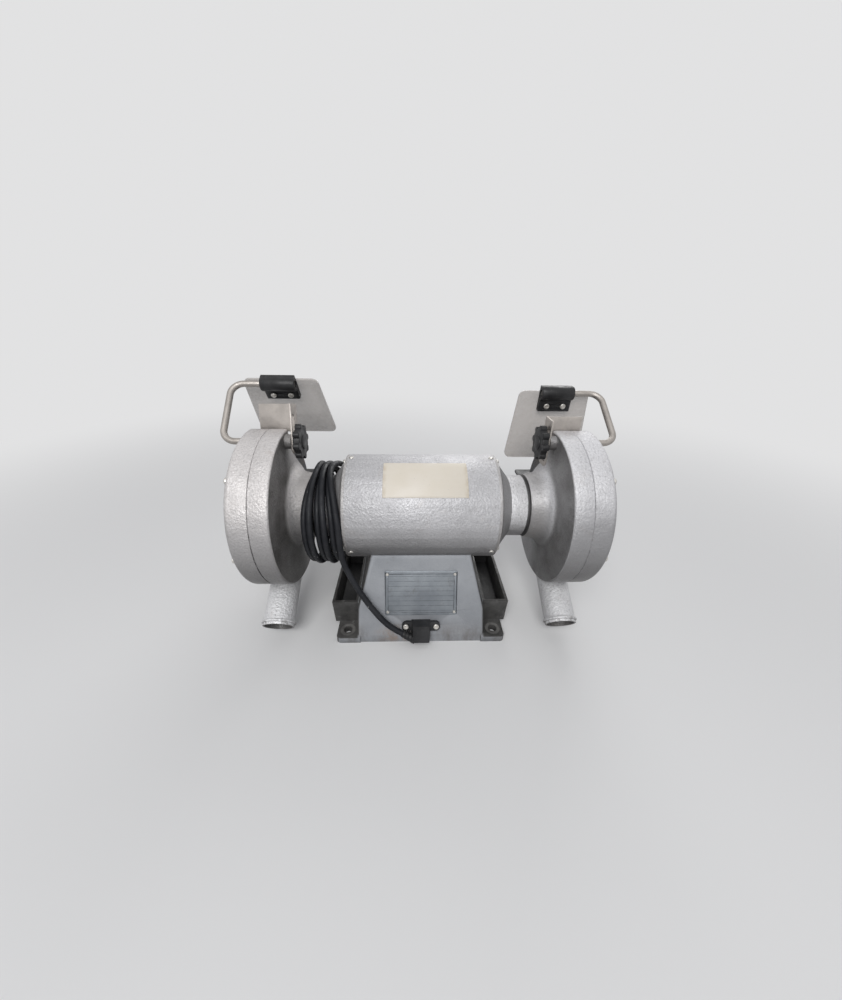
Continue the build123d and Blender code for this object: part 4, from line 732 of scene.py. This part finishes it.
head = screw_head("barrel_screw")
head.materials.append(plated)
for end, side in zip((-1, 1), SIDES):
    for index in range(SCREWS_PER_END):
        turn = 2 * math.pi * index / SCREWS_PER_END
        outward = Vector((0.0, -math.sin(turn), math.cos(turn)))
        seat = Vector((end * (BARREL_END - SCREW_FROM_END), 0.0, SPINDLE)) + outward * BARREL_RADIUS
        upright = outward.to_track_quat("Z", "X").to_matrix().to_4x4()
        screw = add(f"barrel_screw_{side}_{index}", head)
        screw.matrix_world = Matrix.Translation(seat * MM) @ upright
        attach(screw, "base")


# Mains lead: the route of the solids

CORD_DIAMETER = 7.8
NECK_RADIUS = 42.0
SLEEVE_UP, SLEEVE_PROUD, SLEEVE_TILT = 4.5, 8.5, math.radians(27)
SLEEVE_LENGTH = 28.0
LEAD_FIRST_RUN = 18.0
LEAD_ROUTE = ((-61.3, 48.2), (-80.0, 76.0), (-91.0, 97.0))
LEAD_LAST_RUN = 24.0
COIL_FIRST_TURN, COIL_TURNS = 0.72, 5.43
COIL_MIDDLE, COIL_TOP_SHIFT = -124.5, -3.5
COIL_PITCH, COIL_TOP_PITCH = 8.5, 4.3
COIL_CLEAR, COIL_LAYER_STEP = 1.7, 8.4
COIL_HANG, COIL_BELLY = 24.0, 3.0
COIL_POINTS_PER_TURN = 26
COIL_TANGENT_STEP = 0.0001
TAIL_FIRST_RUN = 28.0
TAIL_BEND, TAIL_END = (-140.0, 83.0, 150.0), (-138.0, 86.5, 126.0)


def coil_point(turn):
    """Point of the winding after a number of turns, counted from a pass over the top."""
    angle = 2 * math.pi * turn
    top = max(0.0, math.cos(angle)) ** 2
    pitch = COIL_PITCH - (COIL_PITCH - COIL_TOP_PITCH) * top
    x = COIL_MIDDLE + COIL_TOP_SHIFT * top - pitch * (turn - COIL_FIRST_TURN - COIL_TURNS / 2)
    layer = COIL_LAYER_STEP / 2 * (1 - math.cos(math.pi * turn))
    hang = COIL_HANG / 2 * (1 - math.cos(angle)) + COIL_BELLY * math.sin(angle) ** 2
    radius = NECK_RADIUS + COIL_CLEAR + CORD_DIAMETER / 2 + layer + hang
    return Vector((x, radius * math.sin(angle), SPINDLE + radius * math.cos(angle)))


def coil_direction(turn):
    """Unit tangent of the winding."""
    return (coil_point(turn + COIL_TANGENT_STEP) - coil_point(turn - COIL_TANGENT_STEP)).normalized()


def rear_point(x, up, proud):
    """Point that stands proud of the leaning rear plate, with up measured along the plate."""
    y = -COLUMN_DEPTH / 2 + up * math.sin(LEAN) - proud * math.cos(LEAN)
    return Vector((x, y, up * math.cos(LEAN) + proud * math.sin(LEAN)))


def sleeve_point(along):
    """Point on the axis of the cord clamp's sleeve."""
    up = SLEEVE_UP + along * math.sin(SLEEVE_TILT)
    return rear_point(-along * math.cos(SLEEVE_TILT), up, SLEEVE_PROUD)


def lead_route():
    """Points from the cord clamp over the rear plate and round the neck to the plug."""
    last_turn = COIL_FIRST_TURN + COIL_TURNS
    first_way, last_way = coil_direction(COIL_FIRST_TURN), coil_direction(last_turn)
    entry = coil_point(COIL_FIRST_TURN) - first_way * CORD_DIAMETER
    leave = coil_point(last_turn) + last_way * CORD_DIAMETER
    route = [sleeve_point(SLEEVE_LENGTH), sleeve_point(SLEEVE_LENGTH + LEAD_FIRST_RUN)]
    route += [rear_point(x, up, SLEEVE_PROUD) for x, up in LEAD_ROUTE]
    route += [entry - first_way * LEAD_LAST_RUN, entry]
    steps = round(COIL_TURNS * COIL_POINTS_PER_TURN)
    route += [coil_point(COIL_FIRST_TURN + COIL_TURNS * step / steps) for step in range(steps + 1)]
    return route + [leave, leave + last_way * TAIL_FIRST_RUN, Vector(TAIL_BEND), Vector(TAIL_END)]


def round_curve(name, route, diameter):
    """A round tube along a smooth line that the points guide."""
    curve = bpy.data.curves.new(name, "CURVE")
    curve.dimensions = "3D"
    curve.bevel_depth = diameter / 2 * MM
    curve.bevel_resolution = 5
    curve.resolution_u = 4
    curve.use_fill_caps = True
    spline = curve.splines.new("NURBS")
    spline.points.add(len(route) - 1)
    for point, place in zip(spline.points, route):
        point.co = (*(place * MM), 1.0)
    spline.order_u = 3
    spline.use_endpoint_u = True
    return curve


route = lead_route()
lead = add("mains_lead", round_curve("mains_lead", route, CORD_DIAMETER))
lead.data.materials.append(rubber)
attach(lead, "base")
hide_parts("cord_lead", "cord_winding", "cord_tail")


# Camera: its place, tilt and focal length fit the photograph, whose longer side is FRAME_PIXELS

FRAME_PIXELS, FOCAL_PIXELS = 1000.0, 356.5
SENSOR = 36.0
CAMERA_PLACE = (-14.5, -431.0, 407.9)
PITCH, YAW, ROLL = math.radians(28.78), math.radians(1.96), math.radians(0.96)

camera_data = bpy.data.cameras.new("camera")
camera_data.sensor_fit = "AUTO"
camera_data.sensor_width = SENSOR
camera_data.lens = FOCAL_PIXELS * SENSOR / FRAME_PIXELS
camera_data.clip_start = 0.01
camera = add("camera", camera_data)
ahead = Vector((math.sin(YAW), math.cos(YAW), 0.0))
forward = ahead * math.cos(PITCH) - Vector((0.0, 0.0, math.sin(PITCH)))
level = Vector((math.cos(YAW), -math.sin(YAW), 0.0))
upward = level.cross(forward)
right = level * math.cos(ROLL) + upward * math.sin(ROLL)
above = upward * math.cos(ROLL) - level * math.sin(ROLL)
aim = Matrix((right, above, -forward)).transposed().to_4x4()
camera.matrix_world = Matrix.Translation(Vector(CAMERA_PLACE) * MM) @ aim
scene.camera = camera


# Floor and backdrop: the floor keeps the shadows and turns into the backdrop further out

FLOOR_COLOUR, FLOOR_BOUNCE = (0.78, 0.78, 0.78), (0.30, 0.30, 0.30)
FLOOR_REACH = 30000.0
FLOOR_FADE = (450.0, 1500.0)
BACKDROP_COLOUR = (0.76, 0.76, 0.765)
SKY_COLOUR, SKY_STRENGTH = (0.95, 0.96, 1.0), 0.30


def floor_paint(name):
    """Pale where it is seen, grey where it throws light on the object, backdrop in the distance."""
    paint = Paint(name, roughness=0.9)
    paint.set("Base Color", paint.mix(paint.seen(), FLOOR_BOUNCE, FLOOR_COLOUR))
    glow = paint.node("ShaderNodeEmission")
    glow.inputs["Color"].default_value = colour(BACKDROP_COLOUR)
    glow.inputs["Strength"].default_value = 1.0
    far = paint.past(paint.distance(paint.at(0), paint.at(1)), *FLOOR_FADE)
    camera_ray = paint.node("ShaderNodeLightPath").outputs["Is Camera Ray"]
    surface = paint.node("ShaderNodeMixShader")
    paint.feed(surface.inputs[0], paint.product(far, camera_ray))
    paint.feed(surface.inputs[1], paint.shader.outputs["BSDF"])
    paint.feed(surface.inputs[2], glow.outputs["Emission"])
    paint.feed(paint.tree.nodes["Material Output"].inputs["Surface"], surface.outputs["Shader"])
    return paint.material


def studio_world(name):
    """A plain backdrop for the rays that see it, and a soft sky that lights the rest."""
    world = bpy.data.worlds.new(name)
    world.use_nodes = True
    graph = Graph(world.node_tree)
    sky = graph.tree.nodes["Background"]
    sky.inputs["Color"].default_value = colour(SKY_COLOUR)
    sky.inputs["Strength"].default_value = SKY_STRENGTH
    backdrop = graph.node("ShaderNodeBackground")
    backdrop.inputs["Color"].default_value = colour(BACKDROP_COLOUR)
    backdrop.inputs["Strength"].default_value = 1.0
    choice = graph.node("ShaderNodeMixShader")
    graph.feed(choice.inputs[0], graph.seen())
    graph.feed(choice.inputs[1], sky.outputs["Background"])
    graph.feed(choice.inputs[2], backdrop.outputs["Background"])
    graph.feed(graph.tree.nodes["World Output"].inputs["Surface"], choice.outputs["Shader"])
    return world


reach = FLOOR_REACH * MM
floor_mesh = bpy.data.meshes.new("floor")
floor_corners = [(-reach, -reach, 0), (reach, -reach, 0), (reach, reach, 0), (-reach, reach, 0)]
floor_mesh.from_pydata(floor_corners, [], [(0, 1, 2, 3)])
floor_mesh.materials.append(floor_paint("floor"))
floor = add("floor", floor_mesh)
scene.world = studio_world("world")


# Lamps, in metres and watts

def area_light(name, place, target, size, energy):
    data = bpy.data.lights.new(name, "AREA")
    data.size = size
    data.energy = energy
    way = Vector(target) - Vector(place)
    turn = way.to_track_quat("-Z", "Y").to_matrix().to_4x4()
    add(name, data).matrix_world = Matrix.Translation(place) @ turn


area_light("key", place=(-0.35, -1.6, 1.65), target=(0.0, 0.0, 0.15), size=1.3, energy=29.0)
area_light("top", place=(0.3, 0.2, 2.2), target=(0.0, 0.0, 0.1), size=1.8, energy=4.0)
area_light("front", place=(0.6, 1.9, 1.2), target=(0.0, 0.0, 0.15), size=1.4, energy=14.0)

scene.view_settings.view_transform = "Standard"
